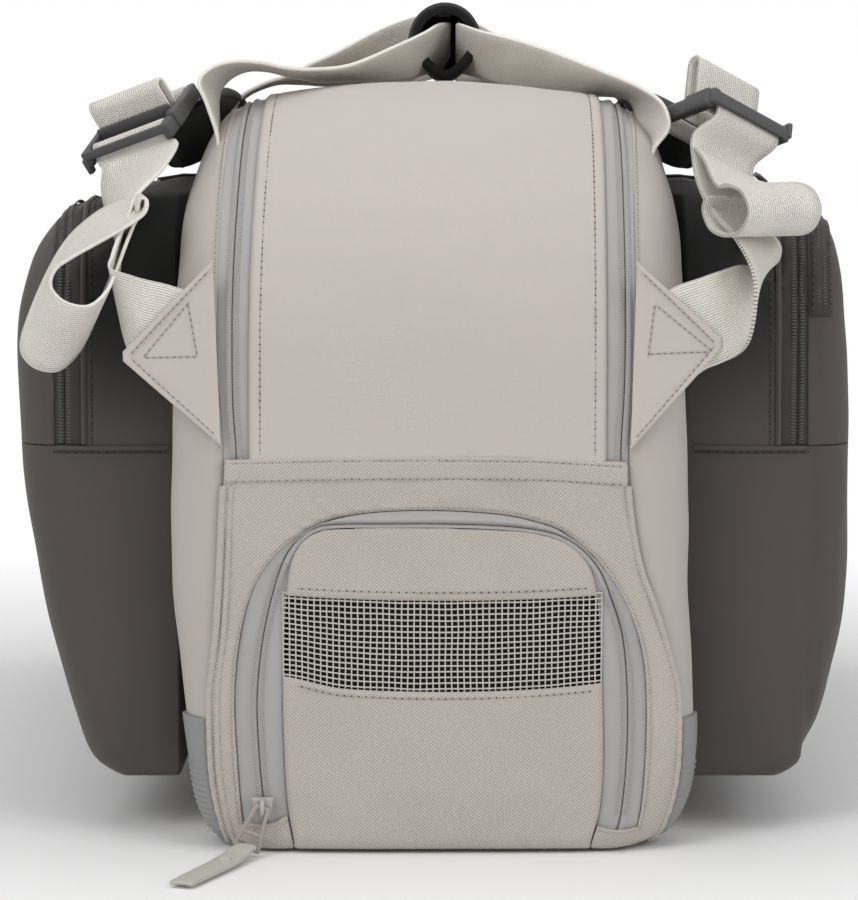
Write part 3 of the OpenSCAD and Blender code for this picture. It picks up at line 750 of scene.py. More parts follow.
# ---------------------------------------------------------------- body panels
def side_wall_piece(side):
    """One side wall, wrapping the rounded corner and running in behind the compartment."""
    word = WORD[side]
    around = [0, 0.08, 0.2, 0.35, 0.5, 0.65, 0.8, 0.92, 1.0]
    inward = [0.02, 0.05, 0.09, 0.14, 0.2, 0.28, 0.38, 0.5, 0.65, 0.8, 1.0]
    columns = len(around) + len(inward) - 1
    hem = 1.4

    def place(u, v):
        i = min(int(u * columns + 0.5), columns)
        s = 3 + (S_END - 6) * v
        if i < len(around):
            return wall_point(side, s, around[i], 0.0, -hem * (1 - ease(0.0, 0.1, around[i])))
        return wall_point(side, s, 1.0, inward[i - len(around)])

    bm = sheet_mesh(columns, 190, place, lambda u, v: (u * 120, v * S_END))
    face_away(bm)
    finish_piece("side_wall_%s" % word, bm, "bag", "side_cloth", 3.0, smooth=1)


def base_piece():
    """The rubber-coated base with its turned-up rim."""
    def place(u, v):
        y = -LENGTH + 4 + (2 * LENGTH - 8) * v
        end = min(y + LENGTH, LENGTH - y)
        half = 97.5 - (24 - math.sqrt(max(24**2 - max(24 - end, 0) ** 2, 0)))
        x = half * (2 * u - 1)
        near = min(half - abs(x), end - 3)
        return (x, y, 0.4 + 2.4 * (1 - ease(0, 6, near)))

    bm = sheet_mesh(40, 90, place, lambda u, v: (u * 195, v * 550))
    face_away(bm, (0, 0, 100))
    finish_piece("base_panel", bm, "bag", "rubber", 2.0, smooth=1)


def far_panel_piece():
    """The far end's outer panel, up to the zip under the lid's edge."""
    def place(u, v):
        s = S_END - 3 - (262.0 - 3) * v
        x = -curve(RIM[LEFT], s) + (curve(RIM[LEFT], s) + curve(RIM[RIGHT], s)) * u
        return body_point(x, s, 2.5 * math.sin(math.pi * u) * math.sin(math.pi * v))

    bm = sheet_mesh(56, 64, place, lambda u, v: (u * 190, v * 256))
    face_away(bm)
    finish_piece("far_panel", bm, "bag", "canvas", 3.0, smooth=1)


# The three outlines of the shoe zip in (x, z): the flap's edge, the zip's middle and the tape's outer edge.
FLAP_LINE = [(-62.7, 2), (-65.5, 19.5), (-67.2, 45), (-67.7, 72), (-67, 100), (-65.6, 122), (-63.6, 134),
             (-59.5, 143), (-52, 148.8), (-41, 150.6), (-20, 150.8), (5, 150.8), (30, 150), (48, 148),
             (59, 144.7), (67.5, 138.5), (73, 130), (75.6, 119), (77.5, 98), (78.3, 72), (78.9, 44),
             (77, 18), (73, 2)]
MIDDLE_LINE = [(-73.5, 2), (-76.2, 19.5), (-78.6, 45), (-79.5, 72), (-77, 98), (-72, 121), (-67, 136),
               (-60.8, 145.2), (-52.6, 150.8), (-41, 152.2), (-20, 152.4), (5, 152.4), (30, 151.6),
               (48.5, 149.6), (60, 146.3), (69.5, 140), (77, 131), (82, 119), (87.6, 100), (89.8, 72),
               (89.5, 44), (87, 18), (82.5, 2)]
OUTER_LINE = [(-84, 2), (-87, 19.5), (-89, 45), (-90, 72), (-88, 96), (-83.6, 116), (-77, 130),
              (-68, 140.5), (-55, 150), (-42, 155), (-22, 157.8), (5, 158.3), (31, 156.6), (47, 153.4),
              (59, 149), (71, 140), (82, 127.5), (91.5, 110), (96.8, 92), (98.6, 72), (98.3, 44), (96, 18),
              (91.5, 2)]


def flat_line(table):
    """A smooth function of t (0 to 1) through (x, z) pairs."""
    pts = [Vector((x, 0, z)) for x, z in table]

    def at(t):
        p = spline(pts, t)
        return p.x, p.z
    return at


FLAP_EDGE = flat_line(FLAP_LINE)
ZIP_MIDDLE = flat_line(MIDDLE_LINE)
TAPE_EDGE = flat_line(OUTER_LINE)


def puff(x, z):
    """How far the shoe pocket's flap stands out."""
    across = max(1 - ((x - 5) / 74.0) ** 2, 0.0)
    return 1.6 + 4.2 * across ** 0.6 * ease(-4, 36, z) * (1 - 0.45 * ease(95, 152, z))


def near_panel_piece():
    """The near end's panel: a frame between the shoe zip and the body's seams."""
    top = SEAM - 1

    def outer(t):
        k = t * 22
        if k <= 9:
            z = 2 + (top - 2) * (k / 9)
            return -curve(RIM[LEFT], z), z
        if k >= 13.5:
            z = 2 + (top - 2) * ((22 - k) / 8.5)
            return curve(RIM[RIGHT], z), z
        f = (k - 9) / 4.5
        return -curve(RIM[LEFT], top) + (curve(RIM[LEFT], top) + curve(RIM[RIGHT], top)) * f, top

    def spot(u, v):
        (ax, az), (bx, bz) = TAPE_EDGE(v), outer(v)
        return between(ax, bx, u), between(az, bz, u)

    def place(u, v):
        x, z = spot(u, v)
        inner = ease(0.0, 0.05, u)
        hem = -0.6 * (1 - ease(0.0, 0.035, 1 - u))
        pull = 0.35 * math.sin(v * 260) * (1 - ease(0.03, 0.2, u)) * inner
        sag = 1.3 * soft((x, 0, z), 24, 9.0) * ease(0.05, 0.3, u)
        return body_point(x, z, 0.9 * inner + hem + pull + sag)

    bm = sheet_mesh(26, 200, place, spot)
    face_away(bm)
    finish_piece("near_panel", bm, "bag", "canvas", 2.6, smooth=1)
    rows = bmesh.new()

    def along_tape(t):
        (ax, az), (bx, bz) = TAPE_EDGE(t), outer(t)
        k = 2.0 / max(math.hypot(bx - ax, bz - az), 1)
        return between(ax, bx, k), between(az, bz, k)

    stitch_mesh(rows, on_body(along_tape, 1.5), 0.03, 0.97, 2.8, 2.0, 0.5, 0.6)
    finish_piece("near_panel_stitches", rows, "bag", "thread soft_hole", nodes=())


def seam_band_piece():
    """The folded hem under the lid, with two rows of stitches."""
    low, high = SEAM - 12.0, SEAM - 0.3

    def spot(u, v):
        z = between(low, high, v)
        left, right = -curve(RIM[LEFT], z) + 0.6, curve(RIM[RIGHT], z) - 0.6
        x = between(left, right, u)
        return x, z + 1.6 * math.sin(math.pi * u) - 1.2 * ease(0.75, 1.0, u)

    def place(u, v):
        x, z = spot(u, v)
        rise = 2.1 * ease(0.0, 0.12, v) * (1 - 0.55 * ease(0.93, 1.0, v))
        rise -= 0.5 * math.exp(-((v - 0.13) / 0.06) ** 2) + 0.5 * math.exp(-((v - 0.84) / 0.06) ** 2)
        return body_point(x, z, rise + 0.25 * soft((x, 0, 0), 7, 5.0))

    bm = sheet_mesh(150, 16, place, spot)
    face_away(bm)
    finish_piece("seam_band", bm, "bag", "canvas", 1.2, smooth=1)
    rows = bmesh.new()
    for v in (0.13, 0.84):
        stitch_mesh(rows, on_body(lambda t, v=v: spot(0.01 + 0.98 * t, v), 1.75), 0, 1, 3.3, 2.4, 0.6, 0.75)
    finish_piece("seam_band_stitches", rows, "bag", "thread hole", nodes=())


def piping_piece():
    """Corded piping down the near end's two upright seams."""
    bm = bmesh.new()
    for side in WORD:
        for shift, radius in ((0.0, 1.9), (-3.6, 1.5)) if side == LEFT else ((0.0, 1.6),):
            pts = []
            for i in range(90):
                s = 3 + (SEAM - 15) * i / 89
                x = side * (curve(RIM[side], s) + shift)
                pts.append(body_point(x, s, 0.9) + 0.25 * body_normal(x, s) * math.sin(i * 1.7))
            join_mesh(bm, tube_mesh(pts, radius, 8))
    finish_piece("end_piping", bm, "bag", "canvas", smooth=1)


def guards_piece():
    """Rubber corner guards, smooth above and ribbed below."""
    bm = bmesh.new()
    for side, widest in ((LEFT, 1.12), (RIGHT, 1.05)):
        def spot(u, v, side=side, widest=widest):
            return (0.06 + u * widest, 2.5 + 59.5 * v)

        def place(u, v, side=side, widest=widest):
            a, s = spot(u, v, side, widest)
            ribs = 0.0
            if s < 39:
                ribs = 0.75 * (0.5 + 0.5 * math.sin(TAU * s / 2.7)) * ease(0.0, 0.15,
                                                                           u) * (1 - ease(0.85, 1.0, u))
            edge = 1.5 * ease(0.0, 0.06, u) * (1 - ease(0.95, 1.0, u)) * (1 - ease(0.985, 1.0, v))
            return wall_point(side, s, min(a, 1.0), max(a - 1.0, 0.0) * 0.25, 0.4 + edge + ribs)

        part = sheet_mesh(18, 150, place, lambda u, v: (u * 30, v * 60))
        face_away(part, (0, -200, 60))
        join_mesh(bm, part)
    finish_piece("corner_guards", bm, "bag", "rubber", 1.2)


# Corners of the gussets and of their stitched triangles, in (x, z).
# Corners of the gussets and of their stitched triangles, as (x, z).
GUSSET = {
    LEFT: [(-95.5, 188.5), (-139.6, 228.8), (-98.5, 272.5)],
    RIGHT: [(90.6, 186.5), (131.6, 234.8), (93.0, 272)],
}
GUSSET_INNER = {
    LEFT: [(-109.9, 252.8), (-105.8, 228.8), (-130.3, 228.3)],
    RIGHT: [(101.2, 252.6), (98.5, 230), (127.6, 231)],
}


def gusset_piece(side):
    """A triangular wing of doubled cloth with a folded edge and a stitched triangle."""
    word = WORD[side]
    low, tip, high = [Vector((x, 0, z)) for x, z in GUSSET[side]]

    def lie(x, z, lift=0.0):
        out = max(abs(x) - 96, 0.0)
        return Vector((x, -276.6 - lift + 1.6 * (out / 44) ** 2 + 0.7 * soft((x, 0, z), 22, 6.0), z))

    def spot(u, v):
        p = low.lerp(high, v)
        end = tip + (high - low) * 0.05 * (v - 0.5)
        q = p.lerp(end, u)
        return q.x, q.z

    def place(u, v):
        x, z = spot(u, v)
        inset = min(v, 1 - v) * (1 - u) * 84
        band = 0.9 * (1 - ease(3.0, 4.2, inset)) * ease(-0.2, 0.5, inset)
        return lie(x, z, band)

    bm = sheet_mesh(44, 60, place, spot)
    face_away(bm, (0, 0, 230))
    finish_piece("gusset_%s" % word, bm, "bag", "smooth_cloth", 1.4, smooth=1)
    rows = bmesh.new()

    def line(a, b, lift):
        def at(t):
            p = a.lerp(b, t)
            return lie(p.x, p.z, lift), Vector((0, -1, 0))
        return at

    middle = (low + tip + high) / 3
    rims = [low, tip, high]
    for edge in ((0, 1), (1, 2)):
        a, b = rims[edge[0]], rims[edge[1]]
        stitch_mesh(rows, line(a.lerp(middle, 0.10), b.lerp(middle, 0.10), 1.0), 0.02, 0.98, 3.0, 2.1, 0.5,
                    0.6)
    inner = [Vector((x, 0, z)) for x, z in GUSSET_INNER[side]]
    for i in range(3):
        stitch_mesh(rows, line(inner[i], inner[(i + 1) % 3], 0.35), 0, 1, 3.0, 2.1, 0.5, 0.6)
    finish_piece("gusset_stitches_%s" % word, rows, "bag", "soft_hole thread", nodes=())


def bend_with_lid(obj):
    """Bakes the piece's placement into its mesh."""
    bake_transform(obj)


def lid_piece():
    """The lid: one sheet from the near seam over the top and down the far end."""
    s0, s1 = SEAM - 3, S_END - 276

    def spot(u, v):
        s = s0 + (s1 - s0) * v
        left, right = -curve(LID_EDGE[LEFT], s), curve(LID_EDGE[RIGHT], s)
        return between(left, right, u), s

    def place(u, v):
        x, s = spot(u, v)
        edge = min(u, 1 - u) * 163
        end = (1 - v) * (s1 - s0)
        rim = min(edge, end)
        hem = 1.2 * ease(0, 1.5, rim) - 0.45 * math.exp(-((rim - 5.2) / 1.1) ** 2)
        pucker = 0.35 * soft((x * 0.2, s, 0), 9, 8.0) * (1 - ease(6, 22, rim))
        p = (x, s * 0.9, 0)
        sag = 0.9 * soft(p, 60, 11.0) + 0.4 * soft(p, 24, 12.0)
        return body_point(x, s, hem + pucker + sag * ease(4, 30, rim))

    bm = sheet_mesh(86, 330, place, spot)
    face_away(bm)
    lid = finish_piece("lid_sheet", bm, None, "smooth_cloth", 2.4,
                       nodes=["lid_near_panel", "lid_flap"])
    bend_with_lid(lid)
    rows = bmesh.new()

    def row(side):
        def at(t):
            s = SEAM + 1 + (s1 - 6 - SEAM) * t
            return side * (curve(LID_EDGE[side], s) - 5.2), s
        return on_body(at, 0.95)

    for side in WORD:
        stitch_mesh(rows, row(side), 0, 1, 3.2, 2.2, 0.6, 1.0)
    stitch_mesh(rows, on_body(lambda t: (-75 + 150 * t, s1 - 5.2), 0.95), 0, 1, 3.2, 2.2, 0.6, 1.0)
    bend_with_lid(finish_piece("lid_stitches", rows, None, "thread hole", nodes=()))


def u_path(side_table, far_s, radius):
    """fn(t) -> (x, s): up the left side, across the far end and back down the right."""
    start = SEAM - 2.5

    def at(t):
        down = far_s - radius - start
        bend = radius * math.pi / 2
        wide = 176 - 2 * radius
        total = 2 * down + 2 * bend + wide
        d = t * total
        if d <= down:
            s = start + d
            return -curve(side_table[LEFT], s), s
        if d >= total - down:
            s = start + (total - d)
            return curve(side_table[RIGHT], s), s
        a = -curve(side_table[LEFT], far_s)
        b = curve(side_table[RIGHT], far_s)
        d -= down
        if d < bend:
            k = d / radius
            return a + radius - radius * math.cos(k), far_s - radius + radius * math.sin(k)
        d -= bend
        if d < wide:
            return a + radius + (b - a - 2 * radius) * d / wide, far_s
        k = (d - wide) / radius
        return b - radius + radius * math.sin(k), far_s - radius + radius * math.cos(k)
    return at


OUT_PATH = u_path(RIM, S_END - 260.5, 9)
MID_PATH = u_path(ZIP_MID, S_END - 268.5, 7)
IN_PATH = u_path(LID_EDGE, S_END - 276.2, 5)


ZIP_SLIT = 0.12
COIL_PITCH, COIL_REACH, COIL_LONG = 1.25, 2.1, 2.3


def zip_half_mesh(edge, middle, place_at, rows, low=-1.2, bead=0.9, turn=0.5):
    """Half of a zip's tape from its sewn edge to the middle, swelling over the coil."""
    def spot(u, v):
        (ax, ay), (bx, by) = edge(v), middle(v)
        reach = max(math.hypot(bx - ax, by - ay), 0.01)
        k = u * (1 - ZIP_SLIT / reach)
        return ax + (bx - ax) * k, ay + (by - ay) * k, (1 - k) * reach

    def place(u, v):
        x, s, gap = spot(u, v)
        swell = bead * math.exp(-((gap - 1.9) / 1.5) ** 2)
        return place_at(x, s, low + swell - turn * (1 - ease(0.0, 1.1, gap)))

    return sheet_mesh(12, rows, place, lambda u, v: (spot(u, v)[2], v * rows * 3))


def coil_mesh(bm, middle, edge, place_at, start, stop, lift, flip=False):
    """Stitched ribs beside a zip's middle."""
    def at(t):
        (bx, by), (ax, ay) = middle(t), edge(t)
        d = max(math.hypot(ax - bx, ay - by), 0.01)
        k = min(COIL_REACH / d, 1.0)
        x, s = bx + (ax - bx) * k, by + (ay - by) * k
        p = place_at(x, s, lift)
        q = place_at(bx + (ax - bx) * min(k + 0.5 / d, 1), by + (ay - by) * min(k + 0.5 / d, 1), lift)
        up = place_at(x, s, lift + 1.0) - p
        return p, up.normalized(), (q - p)

    fine = 500
    pts = [at(start + (stop - start) * i / fine) for i in range(fine + 1)]
    carry = 0.0
    spots = []
    for (a, na, wa), (b, _, wb) in zip(pts, pts[1:]):
        span = (b - a).length
        while carry <= span and span > 1e-6:
            f = carry / span
            across = wa.lerp(wb, f)
            along = (b - a).normalized()
            if across.length < 1e-4:
                across = along.cross(na)
            spots.append((a.lerp(b, f), (across.normalized() + along * (0.25 if flip else -0.25)), na))
            carry += COIL_PITCH
        carry -= span
    dots(bm, spots, (COIL_LONG, COIL_PITCH * 0.72, 0.9))


def main_zip_pieces():
    """Both halves of the zip that runs right round the lid."""
    for family, body, edge in (("main", "bag", OUT_PATH), ("lid", None, IN_PATH)):
        half = zip_half_mesh(edge, MID_PATH, body_point, 560)
        face_away(half)
        tape = finish_piece("%s_zip_tape" % family, half, body, "tape", 0.8)
        ribs = bmesh.new()
        coil_mesh(ribs, MID_PATH, edge, body_point, 0.0, 1.0, -0.45, family == "lid")
        coil = finish_piece("%s_zip_coil" % family, ribs, body, "coil", nodes=())
        if family == "lid":
            bend_with_lid(tape)
            bend_with_lid(coil)
    rows = bmesh.new()

    def beside(side):
        def at(t):
            s = SEAM + 2 + (S_FAR - SEAM) * t
            return side * (curve(RIM[side], s) + 1.6), s
        return on_body(at, 0.2)

    for side in WORD:
        stitch_mesh(rows, beside(side), 0, 1, 3.2, 2.2, 0.5, 0.8)
    finish_piece("main_zip_stitches", rows, "bag", "thread soft_hole", nodes=())


# ---------------------------------------------------------------- shoe pocket
def shoe_zip_pieces():
    """The arched zip: its outer half on the bag, its inner half on the flap."""
    def place_at(x, z, lift):
        grow = puff(max(min(x, 78), -66), z) * 0.55
        out = max(abs(x - 5) - 84, 0) / 10
        return body_point(x, z, lift + grow * (1 - ease(0.0, 1.0, out)))

    for tape, coil, body, edge, flip in (("shoe_zip_tape", "shoe_zip_coil", "bag", TAPE_EDGE, False),
                                         ("shoe_flap_zip", "shoe_flap_coil", "shoe_flap", FLAP_EDGE, True)):
        half = zip_half_mesh(edge, ZIP_MIDDLE, place_at, 220, -1.0, 1.0, 0.4)
        face_away(half)
        finish_piece(tape, half, body, "tape", 0.8)
        ribs = bmesh.new()
        for start, stop in ((0.045, 0.27), (0.76, 0.955)):
            coil_mesh(ribs, ZIP_MIDDLE, edge, place_at, start, stop, lift=-0.1, flip=flip)
        finish_piece(coil, ribs, body, "coil", nodes=())


def flap_sides(z):
    """Left and right edge of the shoe flap at a height."""
    left = [(2, -62.7), (19.5, -65.5), (45, -67.2), (72, -67.7), (100, -67), (122, -65.6), (134, -63.6),
            (140, -61.2), (144, -58.5), (147, -54.9), (149, -50.5), (150.2, -44), (150.8, -24)]
    right = [(2, 73), (18, 77), (44, 78.9), (72, 78.3), (98, 77.5), (119, 75.6), (130, 73), (136, 69.6),
             (141, 64.6), (145, 58), (147.6, 49.5), (149.5, 36), (150.8, 8)]
    return curve(left, z), curve(right, z)


def mesh_edges(x):
    """Lower and upper edge of the net window at x."""
    k = (x - 5) / 73.0
    return 79.0 - 3.4 * (1 - k * k) + 3.2 * ease(-0.6, -1.0, k), 118.2 + 2.0 * k * k


def flap_piece(name, z_of, rows, hem_low, hem_high):
    """A panel of the shoe flap between two heights."""
    def spot(u, v):
        z = z_of(0.5, v)
        left, right = flap_sides(z)
        x = between(left, right, u)
        return x, z_of((x + 68) / 146, v)

    def place(u, v):
        x, z = spot(u, v)
        edge = min(u, 1 - u) * 140
        rim = ease(0, 1.6, edge)
        low, high = spot(u, 0)[1], spot(u, 1)[1]
        if hem_low:
            rim = min(rim, ease(-0.5, 1.0, z - low))
        if hem_high:
            rim = min(rim, ease(-0.5, 1.0, high - z))
        wave = 0.5 * soft((x, 0, z), 30, 21.0) + 0.25 * soft((x, 0, z), 12, 22.0)
        return body_point(x, z, puff(x, z) + 1.5 * rim - 0.6 + wave * rim)

    bm = sheet_mesh(90, rows, place, spot)
    face_away(bm)
    finish_piece(name, bm, "shoe_flap", "canvas", 2.2, smooth=1)


def shoe_flap_pieces():
    """Upper cloth, net window and lower cloth of the shoe flap, with a near-black sheet of painted shade
    behind the net.
    """
    def upper(u, v):
        x = -68 + 146 * u
        start = mesh_edges(x)[1] - 0.4
        k = math.sin(v * math.pi / 2)
        return start + (150.7 - start) * k

    def lower(u, v):
        x = -68 + 146 * u
        return 2.0 + (mesh_edges(x)[0] + 0.4 - 2.0) * v

    flap_piece("shoe_flap_top", upper, 30, True, False)
    flap_piece("shoe_flap_lower", lower, 60, False, True)
    rows = bmesh.new()

    def on_flap(x, z, lift):
        return body_point(x, z, puff(x, z) + lift), body_normal(x, z)

    def seam(which, shift):
        def at(t):
            x = -62 + 134 * t
            return on_flap(x, mesh_edges(x)[which] + shift, 1.15)
        return at

    stitch_mesh(rows, seam(1, 3.4), 0, 1, 3.4, 2.3, 0.6, 1.0)
    stitch_mesh(rows, seam(0, -2.6), 0, 1, 3.3, 2.3, 0.6, 0.95)
    finish_piece("shoe_flap_stitches", rows, "shoe_flap", "thread hole", nodes=())

    net = bmesh.new()
    sizes = bpy.context.scene.bag_sizes
    wide, tall = sizes.net_across, sizes.net_up

    def knot(i, k):
        x0, x1 = flap_sides(100)
        x = x0 - 0.5 + (x1 - x0 + 1) * i / wide
        low, high = mesh_edges(x)
        z = low - 1 + (high - low + 2) * k / tall
        p = (x, 0, z)
        return x + 0.35 * soft(p, 14, 31.0), z + 0.5 * soft(p, 18, 32.0)

    for i in range(wide + 1):
        pts = [body_point(*knot(i, k), puff(*knot(i, k)) - 0.9) for k in range(tall + 1)]
        join_mesh(net, tube_mesh(pts, 0.36, 5, False))
    for k in range(tall + 1):
        pts = [body_point(*knot(i, k), puff(*knot(i, k)) - 0.75) for i in range(wide + 1)]
        join_mesh(net, tube_mesh(pts, 0.37, 5, False))
    finish_piece("shoe_flap_mesh", net, "shoe_flap", "net")

    # A near-black sheet just behind the net: painted shade of the pocket's inside, seen through the holes.
    def back(u, v):
        x0, x1 = flap_sides(100)
        x = between(x0, x1, u)
        low, high = mesh_edges(x)
        z = low - 2 + (high - low + 4) * v
        return body_point(x, z, puff(x, z) - 4.0)

    bm = sheet_mesh(40, 14, back, lambda u, v: (u * 146, v * 40))
    face_away(bm)
    finish_piece("shoe_flap_net_lining", bm, "shoe_flap", "lining", 0.6, nodes=())


def shoe_tabs_piece():
    """Cloth tabs that close the two lower ends of the shoe zip."""
    bm = bmesh.new()
    for x0, x1, top in ((-86.0, -62.0, 15.0), (73.5, 95.0, 13.0)):
        def place(u, v, x0=x0, x1=x1, top=top):
            z = 1.6 + (top - 1.6 + (3 if x0 < 0 else -0.5) * u * u - 1.6 * math.sin(math.pi * u)) * v
            left, right = flap_sides(z)
            start, end = (x0, left - 0.6) if x0 < 0 else (right + 0.6, x1)
            x = between(start, end, u)
            rise = 1.0 + 1.2 * math.exp(-((v - 0.93) / 0.07) ** 2) + 0.8 * math.sin(math.pi * u)
            return body_point(x, z, rise + 0.3 * soft((x, 0, z), 8, 41.0))
        part = sheet_mesh(26, 22, place, lambda u, v: (u * 24, v * 13))
        face_away(part)
        join_mesh(bm, part)
    finish_piece("shoe_zip_tabs", bm, "bag", "canvas", 1.2, smooth=1)


# ---------------------------------------------------------------- racket compartments
INNER_X = 118.9
COMP_Z = {LEFT: (24.0, 300.0), RIGHT: (24.0, 299.5)}
# Outer face of each compartment: x by height.
COMP_OUT = {
    LEFT: [(24, 150), (26, 157), (30, 160.5), (54, 169.5), (75, 175.5), (100, 182), (134, 188.8),
           (158, 193), (180, 194.6), (245, 194), (259, 191), (274, 186.5), (285, 181), (293, 174),
           (298, 164), (300, 150)],
    RIGHT: [(24, 168), (27, 176), (38, 179.5), (50, 184.5), (66, 189.5), (88, 194.5), (112, 197.2),
            (150, 198.6), (185, 198.8), (215, 197.6), (243, 196), (262, 194), (276, 190.5), (288, 185),
            (294.5, 177), (298.5, 165), (299.5, 150)],
}
Y_NEAR, Y_FAR = -229.0, 260.0
END_ROUND = 26.0
ZIP_LOW = 183.5
ZIP_X = {"in": 162.6, "mid": 171.3, "out": 176.2}


def compartment_skin(side):
    """The whole closed skin of one compartment, before it is cut along its seams."""
    rows, turned = 70, 8
    bm = gridded_cube((15, rows - 1, 45))
    z0, z1 = COMP_Z[side]
    mid = (z0 + z1) / 2
    # inner holds the mask of the black painted shade that is set below.
    inner = bm.verts.layers.float.new("inner")
    for v in bm.verts:
        qx, qy, qz = [(c + 1) / 2 for c in v.co]
        row = qy * rows
        y = Y_NEAR + END_ROUND + (Y_FAR - Y_NEAR - 2 * END_ROUND) * (row - turned) / (rows - 2 * turned)
        e = 0.0
        if row <= turned or row >= rows - turned:
            a = math.pi / 2 * min(row, rows - row) / turned
            bend = END_ROUND * (1 - math.cos(a))
            y = Y_NEAR + bend if row <= turned else Y_FAR - bend
            e = 1 - math.sin(a)
        z = z0 + (z1 - z0) * qz
        wide = curve(COMP_OUT[side], z) - INNER_X
        x = INNER_X + wide * qx * (1 - e * 15.0 / wide)
        reach = 34.0 if z > mid else 5.0
        z = mid + (z - mid) * (1 - e * reach / (z1 - mid))
        face = (1 - (2 * qx - 1) ** 2) * (1 - (2 * qz - 1) ** 4)
        if row < 1:
            y -= 4.0 * face
        elif row > rows - 1:
            y += 4.0 * face
        p = Vector((side * x, y, z))
        loose = ease(0.05, 0.35, qx)
        high = ease(225, 285, z) * ease(0.35, 0.75, qx)
        swell = (1.5 * soft(p, 75, 51.0) + 0.6 * soft((x, y * 0.4, z * 0.35), 13, 52.0)
                 * ease(0.3, 1, qx)) * loose
        swell += 2.2 * soft((x * 1.3, y * 0.5, z * 0.6 + x), 19, 53.0) * high
        rolls = abs(math.sin(math.pi * (x - 158 + 0.16 * (z - 292)) / 10.5)) - 0.6
        swell += 1.7 * rolls * ease(205, 272, z) * ease(148, 157, x) * ease(-110, -190, y)
        if side == RIGHT:
            swell += 1.6 * soft((x, y * 0.5, z * 0.22), 10, 54.0) * ease(0.75, 0.95, qx)
            if z < ZIP_LOW and y < -180:
                swell -= 2.6 * math.exp(-((x - 178.8) / 2.2) ** 2)
        out = Vector((side * (0.15 + 0.85 * qx), -1.0 if row < 4 else (1.0 if row > rows - 4 else 0.0),
                      0.8 if qz > 0.93 else 0.0))
        v.co = p + out.normalized() * swell
        # inner: black painted on the near end's upper inner part, where the webs and gussets shade it;
        # partly black cloth, partly painted shade.
        v[inner] = ease(185, 250, z) * (1 - ease(154, 162, x + 0.06 * (262 - z) - 4)) * ease(-120, -200, y)
    bmesh.ops.recalc_face_normals(bm, faces=bm.faces[:])
    layer = bm.loops.layers.uv.new("UVMap")
    for f in bm.faces:
        n = f.normal
        for loop in f.loops:
            c = loop.vert.co * MM
            loop[layer].uv = c.yz if abs(n.x) > 0.7 else (c.xz if abs(n.y) > 0.7 else c.xy)
    return bm


def cut_copy(skin, *planes):
    """A copy of the skin without what lies beyond each plane: its axis, its place and the way it faces."""
    bm = skin.copy()
    for axis, place, way in planes:
        co, no = Vector(), Vector()
        co[axis], no[axis] = place, way
        bmesh.ops.bisect_plane(bm, geom=bm.verts[:] + bm.edges[:] + bm.faces[:], dist=0.001, plane_co=co,
                               plane_no=no, clear_outer=True)
    return bm


def push_out(bm, reach):
    """Moves every vertex along its normal."""
    bm.normal_update()
    for v in bm.verts:
        v.co += v.normal * reach
    return bm


def section(skin, co, no, keep):
    """Where a plane meets the skin: the (point, normal) pairs whose point passes keep."""
    bm = skin.copy()
    got = bmesh.ops.bisect_plane(bm, geom=bm.verts[:] + bm.edges[:] + bm.faces[:], dist=0.001, plane_co=co,
                                 plane_no=no)
    bm.normal_update()
    spots = [(v.co.copy(), v.normal.copy()) for v in got["geom_cut"]
             if isinstance(v, bmesh.types.BMVert) and keep(v.co)]
    bm.free()
    return spots


def slice_path(skin, side, x, low, count=420):
    """Points and normals where the plane at x meets the skin above a height, from near to far."""
    spots = section(skin, (side * x, 0, 0), (1, 0, 0), lambda p: p.z > low - 4)
    spots.sort(key=lambda s: -math.atan2(s[0].z - low + 12, s[0].y - 15))
    pts = evenly([s[0] for s in spots], count)
    normals = evenly([s[0] + s[1] * 100 for s in spots], count)
    return pts, [(n - p).normalized() for n, p in zip(normals, pts)]


def stretch(path, low, far):
    """The part of a (points, normals) path above a height and nearer than far."""
    held = [i for i, p in enumerate(path[0]) if p.z > low and p.y < far]
    return [[items[i] for i in held] for items in path]


def path_fn(pts, normals, lift=0.0):
    """fn(t) -> (point, normal) along lists of points and normals."""
    n = len(pts) - 1

    def at(t):
        k = min(int(t * n), n - 1)
        f = t * n - k
        m = normals[k].lerp(normals[k + 1], f).normalized()
        return pts[k].lerp(pts[k + 1], f) + m * lift, m
    return at


def across_rows(bm, pts, normals, direction, reach, long, pitch, lift, high=0.7, slant=0.2):
    """Coil ribs on one side of a path; direction is +1 or -1 across it along x."""
    spots = []
    at = path_fn(pts, normals, lift)
    for p, t, n in paced(at, 0, 1, pitch, len(pts)):
        side = t.cross(n).normalized()
        if side.x * direction < 0:
            side = -side
        spots.append((p + side * reach, side + t * slant, n))
    dots(bm, spots, (long, pitch * 0.75, high))


